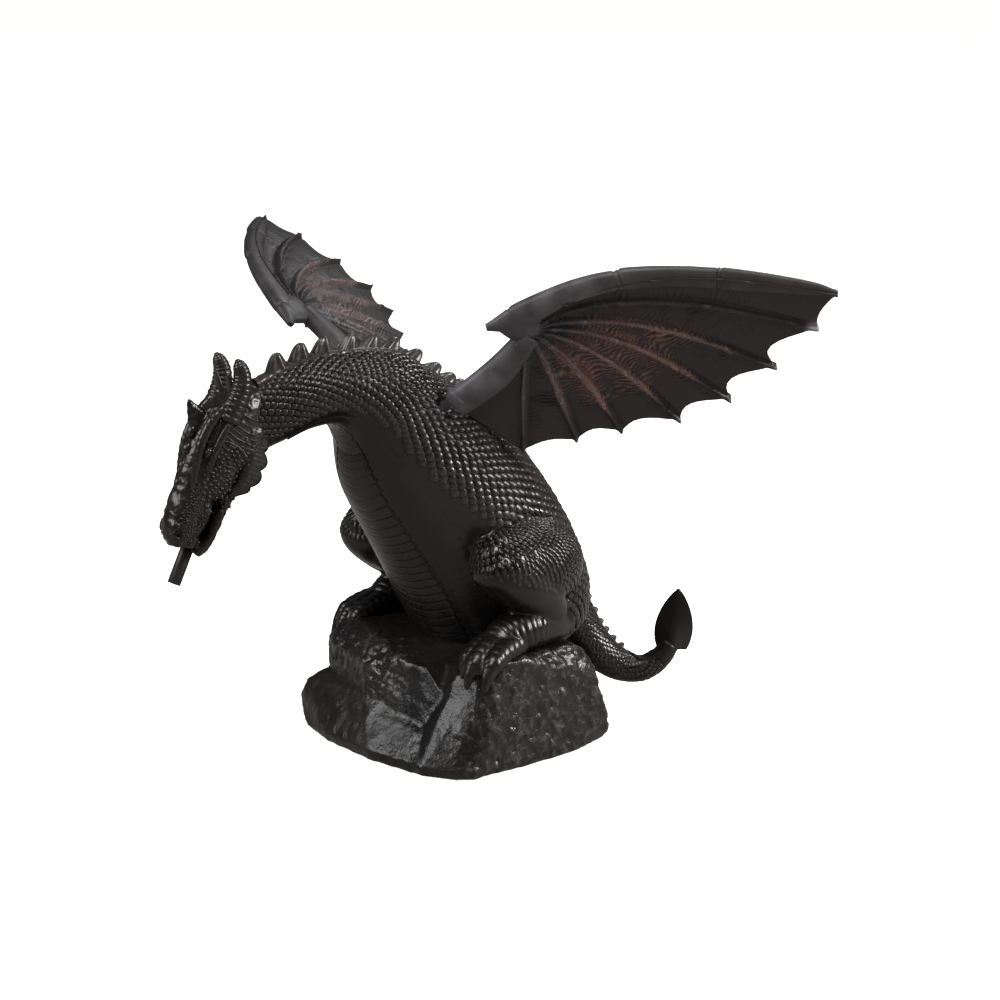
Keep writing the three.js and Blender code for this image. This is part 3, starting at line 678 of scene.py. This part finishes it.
# head, drawn in its own frame: u to the nose, v to the forehead, w to the dragon's left
head = {
    "down": 62, "turn": -10, "place": (-8, -112, 170), "voxel": 0.68, "soften": 3,
    "skull": [
        [-12, 3, 0, 6, 6], [-8, 4, 0, 9.4, 9.4], [-2, 5.4, 0, 11.4, 12], [8, 8, 0, 12.2, 14],
        [20, 9.5, 0, 11, 13.4], [30, 11, 0, 9.8, 11.2],
        [42, 11.5, 0, 8.8, 9], [52, 11, 0, 8.6, 8.4], [59, 10, 0, 7.8, 7.4], [64.5, 8, 0, 4.8, 4.4],
    ],
    "jaw": [
        [14, 0, 0, 11.4, 9], [28, -2, 0, 9.6, 6.4], [42, -2.4, 0, 8, 3.8], [54, -3, 0, 7, 3.3],
        [61, -2.6, 0, 5.6, 3.5], [65, -1.4, 0, 3, 2.2],
    ],
    "crest": [[13, 18, 0, 3.6, 8], [9.5, 24, 0, 2.6, 5.2], [5.6, 29.6, 0, 1.5, 2],
              [4, 31.6, 0, 0.7, 0.7]],
    "horn": [[6, 13.4, 7.4, 5.8], [-2, 13.6, 8.2, 5.4], [-9, 14.4, 8.9, 4.8],
             [-14.6, 17, 9.3, 4.0], [-18, 20.4, 9.6, 3.0], [-19.6, 22.6, 9.7, 1.0]],
    "ear": [[-3, 14, 5, 2.6, 1.2], [-8, 18, 5.4, 2.8, 1.2], [-12.5, 21.6, 5.6, 0.6, 0.5]],
    "brow": [[-1, 17, 8, 2.2], [9, 20.4, 7.4, 2.4], [19, 21.0, 7.2, 2.3], [30, 18.6, 7.0, 1.9],
             [40, 15.6, 6.6, 1.1]],
    "underBrow": [[2, 12.5, 10.6, 1.5], [12, 14.6, 10.6, 1.8], [22, 14.4, 9.8, 1.8],
                  [33, 12.8, 8.6, 1.5], [44, 12, 8, 0.9]],
    "nostril": {"place": (59, 13.6, 7.4), "radii": (2.6, 1.7, 3.2), "depth": 2.2},
    "frillBase": [[8, 1, 11.0], [13, -1.4, 11.2], [21, -2.6, 11.2], [29, -2.6, 10.2],
                  [35, -1.5, 8.6]],
    "frillEdge": [[4.5, -7, 9.6], [12, -10.6, 10.0], [20, -12.4, 10.2], [28.6, -11, 9.6],
                  [34.6, -6, 8.2]],
    "foldTops": [[13, 17.9], [10.7, 15.7], [7.4, 14.8], [4.3, 14.3], [0, 13.4]],
    "foldFeet": [[15.4, -1], [12.4, -3.2], [9, -4.4], [5.4, -4.4], [0, -3]],
    "cheekRim": [[20, 18], [16.2, 15.6], [14.4, 11.2], [15.4, 4.8], [18, 0.1], [22.7, -3.1]],
    "browCord": [[3, 17.6], [9, 17.4], [17, 16.4], [26, 14.6], [35, 12.4]],
    "lip": [[34, 3.4], [42, 4.4], [50, 4.6], [57, 4.8]],
    "pebble": 0.95,
}
down, askew = math.radians(head["down"]), math.radians(head["turn"])
facing = np.array([math.sin(askew), -math.cos(askew), 0])
headU = facing * math.cos(down) - [0, 0, math.sin(down)]
headV = facing * math.sin(down) + [0, 0, math.cos(down)]
headAxes = np.array([headU, headV, np.cross(headV, headU)])


def fromHead(points):
    return np.asarray(points, float) @ headAxes + head["place"]


def headLimb(stations, around=24, rows=40, relief=None):
    # like a limb, with its width along w; a station is [u, v, w, half width, half height]
    centre = curveThrough([s[:3] for s in stations])
    size = curveThrough([[s[3], s[-1]] for s in stations], 0.4)
    t, angle = tubeGrid(rows, around)
    along = unit(centre(np.minimum(t + 1e-3, 1)) - centre(np.maximum(t - 1e-3, 0)))
    side = unit(np.array([0, 0, 1.0]) - along * along[:, 2:])
    half = size(t)
    if relief:
        half = half * (1 + relief(t, angle))[:, None]
    points = centre(t) + side * (np.sin(angle) * half[:, 0])[:, None]
    points += np.cross(side, along) * (np.cos(angle) * half[:, 1])[:, None]
    return fromHead(points), tubeFaces(rows, around)


def headBall(centre, radii, around=20, rows=12):
    points, faces = ball(np.array(centre), np.array(radii), around, rows)
    return fromHead(points), faces


def mirrored(stations, side):
    return [[s[0], s[1], side * s[2], *s[3:]] for s in stations]


def rings(count, depth):
    return lambda t, angle: depth * np.abs(np.sin(math.pi * t * count)) ** 0.7 - depth


def onHead(u, v, side):
    # place and outward direction on the side of the head
    start, inward = Vector(fromHead([u, v, side * 24])), Vector(-side * headAxes[2])
    return headTree.ray_cast(start, inward, 24)[:2]


def skinCord(path, side, radius, ripples=0):
    # a raised cord that follows the skin of the head through places (u, v)
    found = [onHead(u, v, side) for u, v in curveThrough(path)(np.linspace(0, 1, 60))]
    found = [(hit[:], normal[:]) for hit, normal in found if hit is not None]
    centre, out = np.array([f[0] for f in found]), np.array([f[1] for f in found])
    along = unit(np.gradient(centre, axis=0))
    across = np.cross(out, along)
    t = np.linspace(0.02, 0.98, len(found))
    waist = 1 - 0.3 * (np.cos(math.pi * ripples * t) ** 8 if ripples else 0)
    thick = radius * np.sin(math.pi * t) ** 0.4 * waist
    a = np.arange(10) * math.pi / 5
    ring = across[:, None] * np.cos(a)[:, None] + out[:, None] * (0.85 * np.sin(a))[:, None]
    points = (centre[:, None] + ring * thick[:, None, None]).reshape(-1, 3)
    return points, tubeFaces(len(found) - 1, 10)


def frill(side):
    # a fluted, scalloped fringe of skin along the back of the jaw
    rows, lobes = 110, 4
    base, edge = curveThrough(head["frillBase"]), curveThrough(head["frillEdge"])
    section = np.array([[-0.2, 1.3], [0.25, 1.1], [0.6, 0.8], [0.88, 0.45], [1.0, 0.0],
                        [0.88, -0.45], [0.6, -0.8], [0.25, -1.1], [-0.2, -1.3]])
    s = np.linspace(0, 1, rows + 1)
    lobe = 0.74 + 0.26 * np.abs(np.sin(math.pi * lobes * s)) ** 0.8
    flute = 1 + 0.12 * np.cos(2 * math.pi * 4 * lobes * s)
    start, reach = base(s)[:, None], (edge(s) - base(s))[:, None]
    points = start + reach * (section[:, 0] * lobe[:, None])[..., None]
    points[..., 2] += section[:, 1] * np.where(section[:, 0] > 0, flute[:, None], 1)
    points[..., 2] *= side
    return fromHead(points.reshape(-1, 3)), tubeFaces(rows, len(section))


headMass = [headLimb(head[name], around, rows)
            for name, around, rows in (("skull", 40, 60), ("jaw", 32, 50), ("crest", 20, 20))]
for side in (-1, 1):
    headMass += [
        headBall([27, 6.5, side * 7.4], [14, 8.6, 4.2]),
        headBall([13, 1, side * 8.0], [14, 10.2, 4.6]),
        headBall([57, 13.4, side * 4.6], [4.6, 4.2, 3.6]),
        headBall([50, 5.6, side * 5.2], [10, 3.4, 3.6]),
        headBall([59.5, 5.5, side * 3.4], [4.4, 4.4, 3.4]),
    ]
headSkin = fused(joined(headMass), head["voxel"], head["soften"])
nostril = head["nostril"]
for side in (-1, 1):
    u, v, w = nostril["place"]
    local = (headSkin[0] - fromHead([u, v, side * w])) @ headAxes.T / nostril["radii"]
    dent = held(1 - np.sum(local**2, 1)) ** 0.5
    headSkin[0][:] -= side * headAxes[2] * (nostril["depth"] * dent)[:, None]
lumps = 0.32 * noiseAt(headSkin[0], 2.4, 6.0, 2) + 0.3 * noiseAt(headSkin[0], 7.0, 2.0, 2)
headSkin[0][:] += normalsOf(headSkin) * lumps[:, None]
headTree = skinTree(headSkin)

headDetail = []
for side in (-1, 1):
    headDetail += [
        headLimb(mirrored(head["horn"], side), 24, 110, rings(14, 0.085)),
        headLimb(mirrored(head["brow"], side), 14, 60, rings(14, 0.12)),
        headLimb(mirrored(head["underBrow"], side), 12, 50, rings(16, 0.14)),
        headBall([22, 17.2, side * 9.0], [2.6, 1.6, 1.6], 16, 10),
        headLimb(mirrored(head["ear"], side), 12, 16),
    ]
    headDetail.append(frill(side))
    for fold in range(7):
        high = curveThrough(head["foldTops"])(fold / 6)[0]
        low = curveThrough(head["foldFeet"])(fold / 6)[0]
        bend = (high + low) / 2 + [1.2, 0.8]
        headDetail.append(skinCord([high, bend, low], side, 0.3 if fold % 2 else 0.45))
    headDetail.append(skinCord(head["cheekRim"], side, 0.8, 18))
    headDetail.append(skinCord(head["browCord"], side, 0.8, 22))
    headDetail.append(skinCord(head["lip"], side, 0.55, 14))
knobs = [(16 + i * 7.6, 23.6 - i * 1.2, 1.0 - i * 0.08) for i in range(6)]
headDetail += [headBall([u, v, 0], [k * 3.4, k * 2.3, k * 2.6], 18, 12) for u, v, k in knobs]


def pebbles(region, count, radiusOf):
    # small domes packed at random on the sides of the head, none closer than their own size
    made = []
    for side in (-1, 1):
        kept = np.zeros((0, 3))
        for _ in range(count):
            u, v = dice.uniform(region[0], region[1]), dice.uniform(region[2], region[3])
            radius = radiusOf(u, v) * dice.uniform(0.75, 1.2)
            gaps = np.hypot(kept[:, 0] - u, kept[:, 1] - v) - kept[:, 2]
            if radius <= 0 or (len(kept) and np.min(gaps) < radius * 0.8):
                continue
            hit, normal = onHead(u, v, side)
            if hit is None:
                continue
            kept = np.vstack([kept, [u, v, radius]])
            n = np.array(normal)
            e = unit(np.cross(n, headU))
            f = np.cross(n, e)
            a = np.arange(8) * math.pi / 4
            ring = e * np.cos(a)[:, None] + f * np.sin(a)[:, None]
            centre = np.array(hit)
            points = np.vstack([
                centre + ring * radius - n * 0.3,
                centre + ring * radius * 0.72 + n * radius * 0.5,
                [centre + n * radius * 0.78]])
            faces = gridFaces(1, 8, True) + [[16, 8 + i, 8 + (i + 1) % 8] for i in range(8)]
            made.append((points, faces))
    return made


def cheekRadius(u, v):
    # the patch runs from its rim behind the eye to the lips
    inPatch = ((u - 30) / 16) ** 2 + ((v - 4.5 + (u - 30) * 0.12) / 10.5) ** 2 < 1
    onMuzzle = 36 < u < 62 and 5 < v < 16
    return head["pebble"] if inPatch else 0.55 if onMuzzle else 0.0


headDetail += pebbles((13, 62, -8, 17), 4600, cheekRadius)
headPart = joined([headSkin, *headDetail])
headPiece = meshObject("dragon_head", headPart, True)
headRub = np.zeros(len(headPart[0]))
headRub[len(headSkin[0]):] = 0.3
setLayer(headPiece, "rub_and_glint", headRub)
print("head faces", len(headPiece.data.polygons))

# wings: one shape, seated at its own turn on each side
wing = {
    "hub": (18, 4.7), "ends": [
        (156.2, 0, -18), (146.6, 19.2, -13), (126.4, 39.5, -10), (104.3, 55.4, -9),
        (80.3, 64.6, -7),
        (52.9, 66.9, -4), (31.7, 68.1, -1), (6.3, 68.8, 1), (-21.2, 38.8, 0),
    ],
    "scallop": [0.03, 0.1, 0.1, 0.09, 0.09, 0.08, 0.06, 0.02],
    "arch": 290, "sweepArch": 487, "thickness": 2.4,
    "ribHeight": 2.2, "wrinklePitch": 2.0, "wrinkleDepth": 0.38,
    "chip": {"place": (145.4, 18.4), "radii": (4.2, 3.6)},
    "finger": [
        [0, 0, 1.6, 1.4], [8, -1, 4.5, 2.8], [17, -3.5, 6.6, 3.6], [36, -11, 5.4, 3.6],
        [50, -14.2, 5.2, 3.2], [61, -15.3, 5.0, 3.0], [66, -15.6, 5.4, 3.0], [85, -14.3, 5.2, 2.8],
        [102, -11.4, 5.2, 2.6], [108, -10.4, 5.6, 2.5], [128, -6.4, 4.6, 2.3],
        [146, -2.6, 3.2, 1.8],
        [156.2, 0, 0.9, 0.8],
    ],
    "notches": [0.13, 0.41, 0.45, 0.70, 0.73],  # shares of the finger
    "arm": [[19, 8, 5, 4.2], [1, 26, 7.4, 4.2], [-21.2, 38.8, 6.86, 4.1]],
    "elbow": [[5, -1, 3, 2.2], [16, 2, 9, 3.6], [28, 2, 3.5, 2.4]],
    "left": ((-55.9, -39.8, 14.9), (41.5, -15.6, 206.4)),  # turns in degrees, place of the seat
    "right": ((-17.2, -25.4, 28.1), (62.8, -40.7, 198.9)),
}
wingEnds = np.array(wing["ends"])


def camber(s, t):
    return -((t - 18) ** 2) / (2 * wing["arch"]) - ((s - 60) ** 2) / (2 * wing["sweepArch"])


def fan(across, out):
    i = np.minimum(np.floor(across).astype(int), len(wingEnds) - 2)
    share = across - i
    mixed3 = wingEnds[i] * (1 - share)[:, None] + wingEnds[i + 1] * share[:, None]
    dip = 1 - np.array(wing["scallop"])[i] * np.sin(math.pi * share) ** 0.8
    ds, dt = (mixed3[:, 0] - wing["hub"][0]) * dip, (mixed3[:, 1] - wing["hub"][1]) * dip
    reach = np.hypot(ds, dt)
    sway = mixed3[:, 2] * np.sin(math.pi * out**0.75)
    hubS, hubT = wing["hub"]
    return hubS + ds * out - dt / reach * sway, hubT + dt * out + ds / reach * sway, reach


def membranePart():
    # lanes lie close beside each finger, where the ribs rise
    near = [0, 0.018, 0.036, 0.055, 0.078, 0.11, 0.16, 0.24, 0.36]
    steps = near + [0.5] + [1 - n for n in near[:0:-1]]
    last = len(wingEnds) - 1
    lanes = np.array([i + step for i in range(last) for step in steps] + [float(last)])
    rows = 190
    across, out = np.meshgrid(lanes, np.linspace(0.05, 1, rows + 1), indexing="ij")
    across, out = across.ravel(), out.ravel()
    s, t, reach = fan(across, out)
    panels = np.linalg.norm(np.diff(wingEnds[:, :2], axis=0), axis=1)
    panel = panels[np.minimum(across.astype(int), last - 1)]
    toRib = np.abs(across - np.round(across)) * panel * np.maximum(out, 0.12)
    ribWide = 1.3 - 0.35 * out
    knuckle = 1 + 0.45 * np.exp(-(((out * 3.4 + np.round(across) * 0.37) % 1 - 0.5) / 0.05) ** 2)
    rib = (wing["ribHeight"] - 0.6 * out) * np.exp(-((toRib / ribWide) ** 3)) * knuckle
    crease = 0.5 * np.exp(-(((toRib - 2.2) / 0.7) ** 2)) * held(across * 4)
    flat = held(across * 3)
    points = np.stack([s, t, np.zeros_like(s)], 1)
    waver = noiseAt(points, 16.0, 3.0, 2)
    phase = reach * out / wing["wrinklePitch"] + 2.2 * waver
    phase = phase + 1.1 * np.sin(5.0 * (across % 1) * math.pi)
    strength = noiseAt(points, 9.0, 8.0, 2)
    calm = held((1.02 - out) / 0.35) * held(across / 0.3) * held((7.1 - across) / 0.5)
    wrinkle = wing["wrinkleDepth"] * np.sin(2 * math.pi * phase)
    wrinkle = wrinkle * np.clip(0.75 + 1.3 * strength, 0, 1.4) * calm
    sag = 0.9 * np.sin(math.pi * (across % 1)) * held(out) * flat
    half = wing["thickness"] / 2 + rib - crease
    middle = camber(s, t) - sag
    upper = np.stack([s, t, middle + half + wrinkle], 1)
    under = np.stack([s, t, middle - half + wrinkle], 1)
    count, perLane = len(s), rows + 1
    faces = gridFaces(len(lanes) - 1, perLane, False)
    faces += [[i + count for i in f[::-1]] for f in faces]
    border = list(range(perLane)) + [perLane * k + rows for k in range(1, len(lanes))]
    border += [perLane * (len(lanes) - 1) + k for k in range(rows - 1, -1, -1)]
    border += [perLane * k for k in range(len(lanes) - 2, 0, -1)]
    faces += [[a, b, b + count, a + count] for a, b in zip(border, border[1:] + border[:1])]
    copper = held(1 - ((out - 0.5) / 0.36) ** 2)
    copper = copper * held((across - 1.2) / 1.2) * held((6.6 - across) / 1.4)
    crest = held(0.5 - 0.5 * np.sin(2 * math.pi * phase))
    onRib = np.exp(-((toRib / 1.6) ** 2))
    beside = np.exp(-((toRib - 1.5) / 9.0) ** 2)
    between = copper * (0.1 + 0.95 * crest * beside + 0.6 * strength)
    copper = held(between + onRib * (0.2 + copper * 0.7))
    (chipS, chipT), (chipWide, chipHigh) = wing["chip"]["place"], wing["chip"]["radii"]
    chip = np.exp(-(((s - chipS) / chipWide) ** 2 + ((t - chipT) / chipHigh) ** 2) ** 2)
    pale = held(1.2 * chip + 0.3 * onRib * held((0.9 - out) / 0.3) * held(across - 0.6))
    return (np.vstack([upper, under]), faces), np.tile(copper, 2), np.tile(pale, 2)


def wingBar(stations, around, rows, relief=None):
    line = curveThrough([[s, t, camber(s, t)] for s, t, _, _ in stations], 0.5)
    size = curveThrough([[w, h] for _, _, w, h in stations], 0.5)
    share, angle = tubeGrid(rows, around)
    along = unit(line(np.minimum(share + 1e-3, 1)) - line(np.maximum(share - 1e-3, 0)))
    up = unit(np.array([0, 0, 1.0]) - along * along[:, 2:])
    half = size(share)
    if relief:
        half = half + relief(share, angle)[:, None]
    # squarish section, so that the bar has the flat broad faces of a plate with rounded edges
    cx, cy = (np.sign(c) * np.abs(c) ** 0.8 for c in (np.sin(angle), np.cos(angle)))
    points = line(share) + np.cross(along, up) * (cx * half[:, 0])[:, None]
    points += up * (cy * half[:, 1])[:, None]
    return points, tubeFaces(rows, around)


armLine = unit(wingEnds[-1][:2] - wing["hub"])


def armAt(beyond):
    return tuple(wingEnds[-1][:2] + armLine * beyond)


def notches(share, angle):
    near = np.min(np.abs(share[:, None] - np.array([wing["notches"]])), axis=1)
    return -0.55 * np.exp(-((near / 0.008) ** 2))


sheet, copper, sheetPale = membranePart()
wingParts = [
    sheet,
    wingBar(wing["finger"], 28, 200, notches),
    wingBar(wing["arm"], 28, 40),
    wingBar(wing["elbow"], 24, 30),
    wingBar([[*armAt(-6), 7, 4.2], [*armAt(7.5), 6.58, 4.03], [*armAt(15), 6.16, 3.86]], 24, 24),
]
wingPart = joined(wingParts)
wingRub = np.zeros(len(wingPart[0]))
wingRub[:len(copper)] = copper
# the arm and the root of the leading finger are painted pale in blotches, a painted reflection of
# the gloss along their tops; the finger's end stays dark
wingPaleAndSheen = np.zeros(len(wingPart[0]))
wingPaleAndSheen[:len(copper)] = sheetPale
bars = wingPart[0][len(copper):]
haze = 0.8 + 0.5 * noiseAt(bars, 9.0, 5.0, 3)
onArm = held((12 - bars[:, 0]) / 12)
onRoot = np.exp(-(((bars[:, 0] - 38) / 26) ** 2))
wingPaleAndSheen[len(copper):] = held((0.1 + 0.34 * onRoot + 0.3 * onArm) * haze)
wingPieces = {}
for hand, key, flip in (("left_wing", "left", 1), ("right_wing", "right", -1)):
    turns, place = wing[key]
    spin = np.array(Euler([math.radians(a) for a in turns], "ZYX").to_matrix())
    placed = (wingPart[0] @ spin.T + place) * [flip, 1, 1]
    wingPieces[hand] = meshObject(hand + "_dressed", (placed, wingPart[1]), True)
    setLayer(wingPieces[hand], "rub_and_glint", wingRub)
    setLayer(wingPieces[hand], "pale", wingPaleAndSheen * (1.0 if key == "left" else 0.3))
print("wing faces", len(wingPieces["left_wing"].data.polygons))

# rock plinth: boulders fused, then given chipped faces, pits and a smooth channel
rock = {
    "voxel": 1.05, "soften": 2, "boulders": [
        [[-54, -46, 0], [-28, -54, 0], [6, -57, 0], [38, -54, 0], [-59, -44, 5], [-28, -56, 5],
         [6, -59, 5], [40, -55, 5],
         [-63, -42, 13], [-60, -40, 21], [-55, -34, 26], [-12, -44, 27], [28, -46, 18],
         [-57, 34, 0], [-58, 34, 12],
         [-50, 30, 26], [20, 30, 20], [20, 40, 0]],
        [[-53, -32, 26], [-54, -31, 42], [-50, -28, 48], [-44, -22, 53], [-14, -42, 40],
         [8, -38, 46], [22, -37, 45],
         [34, -37, 34], [30, -45, 17], [-50, 28, 30], [-44, 26, 52.5], [10, 30, 50], [20, 0, 50],
         [-12, -45, 26],
         [40, -46, 6], [-50, -34, 8], [20, 30, 10], [-46, 28, 8]],
        [[57, -40, 10], [57, -37, 30], [54, -34, 45], [60, -20, 52], [58, 26, 50], [63, 34, 38],
         [65, 42, 14],
         [62, 46, 4], [65, 20, 4], [64, -12, 4], [61, -38, 4], [59, 44, 0], [64, 20, 0],
         [62, -13, 0], [58, -38, 0],
         [42, -18, 52], [30, 34, 50], [46, 56, 0], [24, 50, 0], [44, -24, 8], [48, 42, 44],
         [48, 56, 8]],
        [[-44, 24, 0], [46, 24, 0], [-30, 54, 0], [34, 58, 0], [-32, 55, 8], [36, 59, 8],
         [-28, 50, 34], [34, 50, 30],
         [-38, 22, 52.5], [44, 22, 49], [-20, 38, 48], [24, 38, 48]],
        [[20, -54, 0], [38, -54, 0], [53, -47, 0], [59, -40, 0], [39, -56, 4], [54, -49, 4],
         [61, -41, 4], [34, -38, 30],
         [54, -36, 30], [38, -32, 44], [52, -28, 46], [20, 30, 0], [40, 50, 0], [56, 30, 0],
         [-20, 0, 0],
         [30, 30, 46], [54, 20, 46], [-10, 0, 46]],
    ],
}


def hull(corners):
    bm = bmesh.new()
    for corner in corners:
        bm.verts.new(corner)
    bmesh.ops.convex_hull(bm, input=bm.verts)
    bmesh.ops.delete(bm, geom=[v for v in bm.verts if not v.link_faces], context="VERTS")
    bm.verts.index_update()
    part = np.array([v.co[:] for v in bm.verts]), [[v.index for v in f.verts] for f in bm.faces]
    bm.free()
    return part


boulders = joined([hull(corners) for corners in rock["boulders"]])
rockSkin = fused(boulders, rock["voxel"], rock["soften"])
points = rockSkin[0]
rockOut = normalsOf(rockSkin)
broad, fine = noiseAt(points, 22.0, 1.0, 3), noiseAt(points, 5.0, 4.0, 3)
pits, grit = noiseAt(points, 2.6, 9.0, 2), noiseAt(points, 2.0, 12.0, 2)
x, y, z = points.T
rightFace = held((x - 50) / 8)
leftChip = held((y + 20) / -14) * held((z - 22) / 8) * held((16 - x) / 12)
rough = held(0.25 + 0.75 * np.maximum(rightFace, leftChip))
relief = 0.7 * broad + rough * (0.6 * fine + 0.3 * grit - 0.8 * held(pits - 0.1)) - 0.35
relief *= held(z / 3)
rockPoints = points + rockOut * relief[:, None]
rockPoints[:, 2] = np.maximum(rockPoints[:, 2], 0)
rockPiece = meshObject("rock_base", (rockPoints, rockSkin[1]), False)
# the rough faces are flecked pale on their bumps: painted glints for the light they catch, laid on
# with the dry-brush tint
setLayer(rockPiece, "rub_and_glint", held(rough * (0.35 + 1.4 * fine + 0.8 * grit)) * 0.5)
# the channel is painted dark as the shade inside it, and the pits on the rough faces are painted
# dark as their shade
cleft = held((x - 10) / 6) * held((46 - x) / 8) * held((-30 - y) / 8)
setLayer(rockPiece, "hollow", 0.75 * cleft + 0.5 * held(pits * 1.5) * rough * (1 - cleft))
print("rock faces", len(rockPiece.data.polygons))

# water pipe in the mouth, an open tube with a wall
pipe = {
    "outer": 6.0, "bore": 4.4, "length": 34.0, "shown": 16.0,
    "exit": (-17.5, -141.5, 113.0), "way": (0, -8, -15),
}


def pipePart():
    way = unit(np.array(pipe["way"], float))
    side = xAxis
    over = np.cross(way, side)
    r, b, end = pipe["outer"] / 2, pipe["bore"] / 2, pipe["shown"]
    start = end - pipe["length"]
    profile = [(b, start), (r, start), (r, end - 0.35), (r - 0.25, end),
               (b + 0.2, end), (b, end - 0.3)]
    a = np.arange(40) * 2 * math.pi / 40
    ring = side * np.cos(a)[:, None] + over * np.sin(a)[:, None]
    place = np.array(pipe["exit"])
    points = np.vstack([place + ring * radius + way * at for radius, at in profile])
    faces = gridFaces(len(profile) - 1, 40, True)
    last = (len(profile) - 1) * 40
    faces += [[last + i, last + (i + 1) % 40, (i + 1) % 40, i] for i in range(40)]
    return points, faces


pipePiece = meshObject("pipe_tube", pipePart(), True)
setLayer(pipePiece, "rub_and_glint", np.zeros(len(pipePiece.data.vertices)))

# finishes
looks = {
    "figure": {"deep": "#0d0b0a", "body": "#1c1918", "brushed_and_glint": "#453d3e", "roughness": 0.28,
               "cloud": 30.0, "grain": 1.6, "bump": 0.3, "bumpDepth": 0.25},
    "rock": {"deep": "#0f0e0d", "body": "#1e1b1a", "brushed_and_glint": "#5a5456", "roughness": 0.29,
             "cloud": 18.0, "grain": 1.2, "bump": 0.5, "bumpDepth": 0.4},
    "leftWing": {"deep": "#1d1817", "body": "#2e2826", "brushed_and_glint": "#86604f", "roughness": 0.44,
                 "cloud": 34.0, "grain": 1.5, "bump": 0.25, "bumpDepth": 0.2},
    "rightWing": {"deep": "#0d0b0a", "body": "#151110", "brushed_and_glint": "#4c3a37", "roughness": 0.5,
                  "cloud": 34.0, "grain": 1.5, "bump": 0.25, "bumpDepth": 0.2},
    # extruded polyethylene pipe: an even dark satin with fine scuffs
    "pipe": {"deep": "#141211", "body": "#1d1a19", "brushed_and_glint": "#4a4443", "roughness": 0.42,
             "cloud": 12.0, "grain": 0.9, "bump": 0.15, "bumpDepth": 0.1},
}
for look in looks.values():
    look.update(pale="#77747a", hollow="#040303")  # the palest tone, a painted reflection on the wing bars, and the deepest black, which is painted shade
leftWing, rightWing = wingPieces["left_wing"], wingPieces["right_wing"]
finishes = [  # look, material, node, slot, pieces
    ("figure", "glazed_cast_resin", "dragon_body", "figure_resin",
     (body, trim, scaleCoat, headPiece)),
    ("rock", "rough_cast_resin", "rock_plinth", "rock_resin", (rockPiece,)),
    ("leftWing", "copper_brushed_resin", "left_wing", "left_wing_resin", (leftWing,)),
    ("rightWing", "mauve_brushed_resin", "right_wing", "right_wing_resin", (rightWing,)),
    ("pipe", "extruded_pipe_plastic", "mouth_pipe", "pipe_tube", (pipePiece,)),
]
for lookName, materialName, node, slotName, pieces in finishes:
    material = castResin(materialName, looks[lookName])
    for piece in pieces:
        finishPiece(piece, material, node)

# pale floor and soft studio light
studio = {
    "floor": "#f4f3f1", "floorBounce": "#959391", "floorGlow": 1.02,
    "floorHalf": 6, "floorDrop": 0.0005,  # metres
    "backdrop": 1.0, "ambient": 0.09, "exposure": 0.0, "aim": (0, 0, 0.11),
    "lights": {
        "front": ((-0.7, -1.5, 1.1), (1.0, 0.8), 27.0),
        "behind": ((-0.35, 1.2, 1.35), (0.45, 0.3), 9.0),
        "right": ((1.35, 1.0, 0.9), (0.35, 0.6), 46.0),
        "above": ((0.6, -0.7, 1.9), (0.45, 0.45), 30.0),
    },
}
floorMesh = bpy.data.meshes.new("floor")
wide = studio["floorHalf"]
corners = [(x * wide, y * wide, -studio["floorDrop"])
           for x, y in ((-1, -1), (1, -1), (1, 1), (-1, 1))]
floorMesh.from_pydata(corners, [], [(0, 1, 2, 3)])
floor = bpy.data.objects.new("floor", floorMesh)
bpy.context.scene.collection.objects.link(floor)
floorMaterial, floorTree, floorShader = newMaterial("painted_studio_floor", 0.8, 1.45)
floorShader.inputs["Emission Color"].default_value = linear(studio["floor"])
floorSeen = addNode(floorTree, "ShaderNodeLightPath").outputs["Is Camera Ray"]
floorTint = mixed(floorTree, floorSeen, linear(studio["floorBounce"]), linear(studio["floor"]))
floorTree.links.new(floorTint, floorShader.inputs["Base Color"])
glow = addNode(floorTree, "ShaderNodeMath", {"operation": "MULTIPLY"},
               {0: floorSeen, 1: studio["floorGlow"]})
floorTree.links.new(glow.outputs[0], floorShader.inputs["Emission Strength"])
floorMesh.materials.append(floorMaterial)
world = bpy.data.worlds.new("studio")
bpy.context.scene.world = world
world.use_nodes = True
worldTree = world.node_tree
sky = worldTree.nodes["Background"]
sky.inputs["Color"].default_value = (1, 1, 1, 1)
seen = addNode(worldTree, "ShaderNodeLightPath").outputs["Is Camera Ray"]
strength = addNode(worldTree, "ShaderNodeMapRange", None, {
    "Value": seen, "To Min": studio["ambient"], "To Max": studio["backdrop"]})
worldTree.links.new(strength.outputs[0], sky.inputs["Strength"])
bpy.context.scene.view_settings.view_transform = "Standard"
bpy.context.scene.view_settings.exposure = studio["exposure"]


def softbox(name, place, size, power):
    light = bpy.data.lights.new(name, "AREA")
    light.shape = "RECTANGLE"
    light.size, light.size_y, light.energy = *size, power
    lamp = bpy.data.objects.new(name, light)
    lamp.location = place
    lamp.rotation_mode = "QUATERNION"
    lamp.rotation_quaternion = (Vector(place) - Vector(studio["aim"])).to_track_quat("Z", "Y")
    bpy.context.scene.collection.objects.link(lamp)


for name, (place, size, power) in studio["lights"].items():
    softbox(name, place, size, power)
print("studio ready")

low, high = (Vector(corner) for corner in cadBox)
for piece in (body, trim, scaleCoat, headPiece, rockPiece, *wingPieces.values()):
    for vertex in piece.data.vertices:
        vertex.co = Vector(min(max(c, a), b) for c, a, b in zip(vertex.co, low, high))
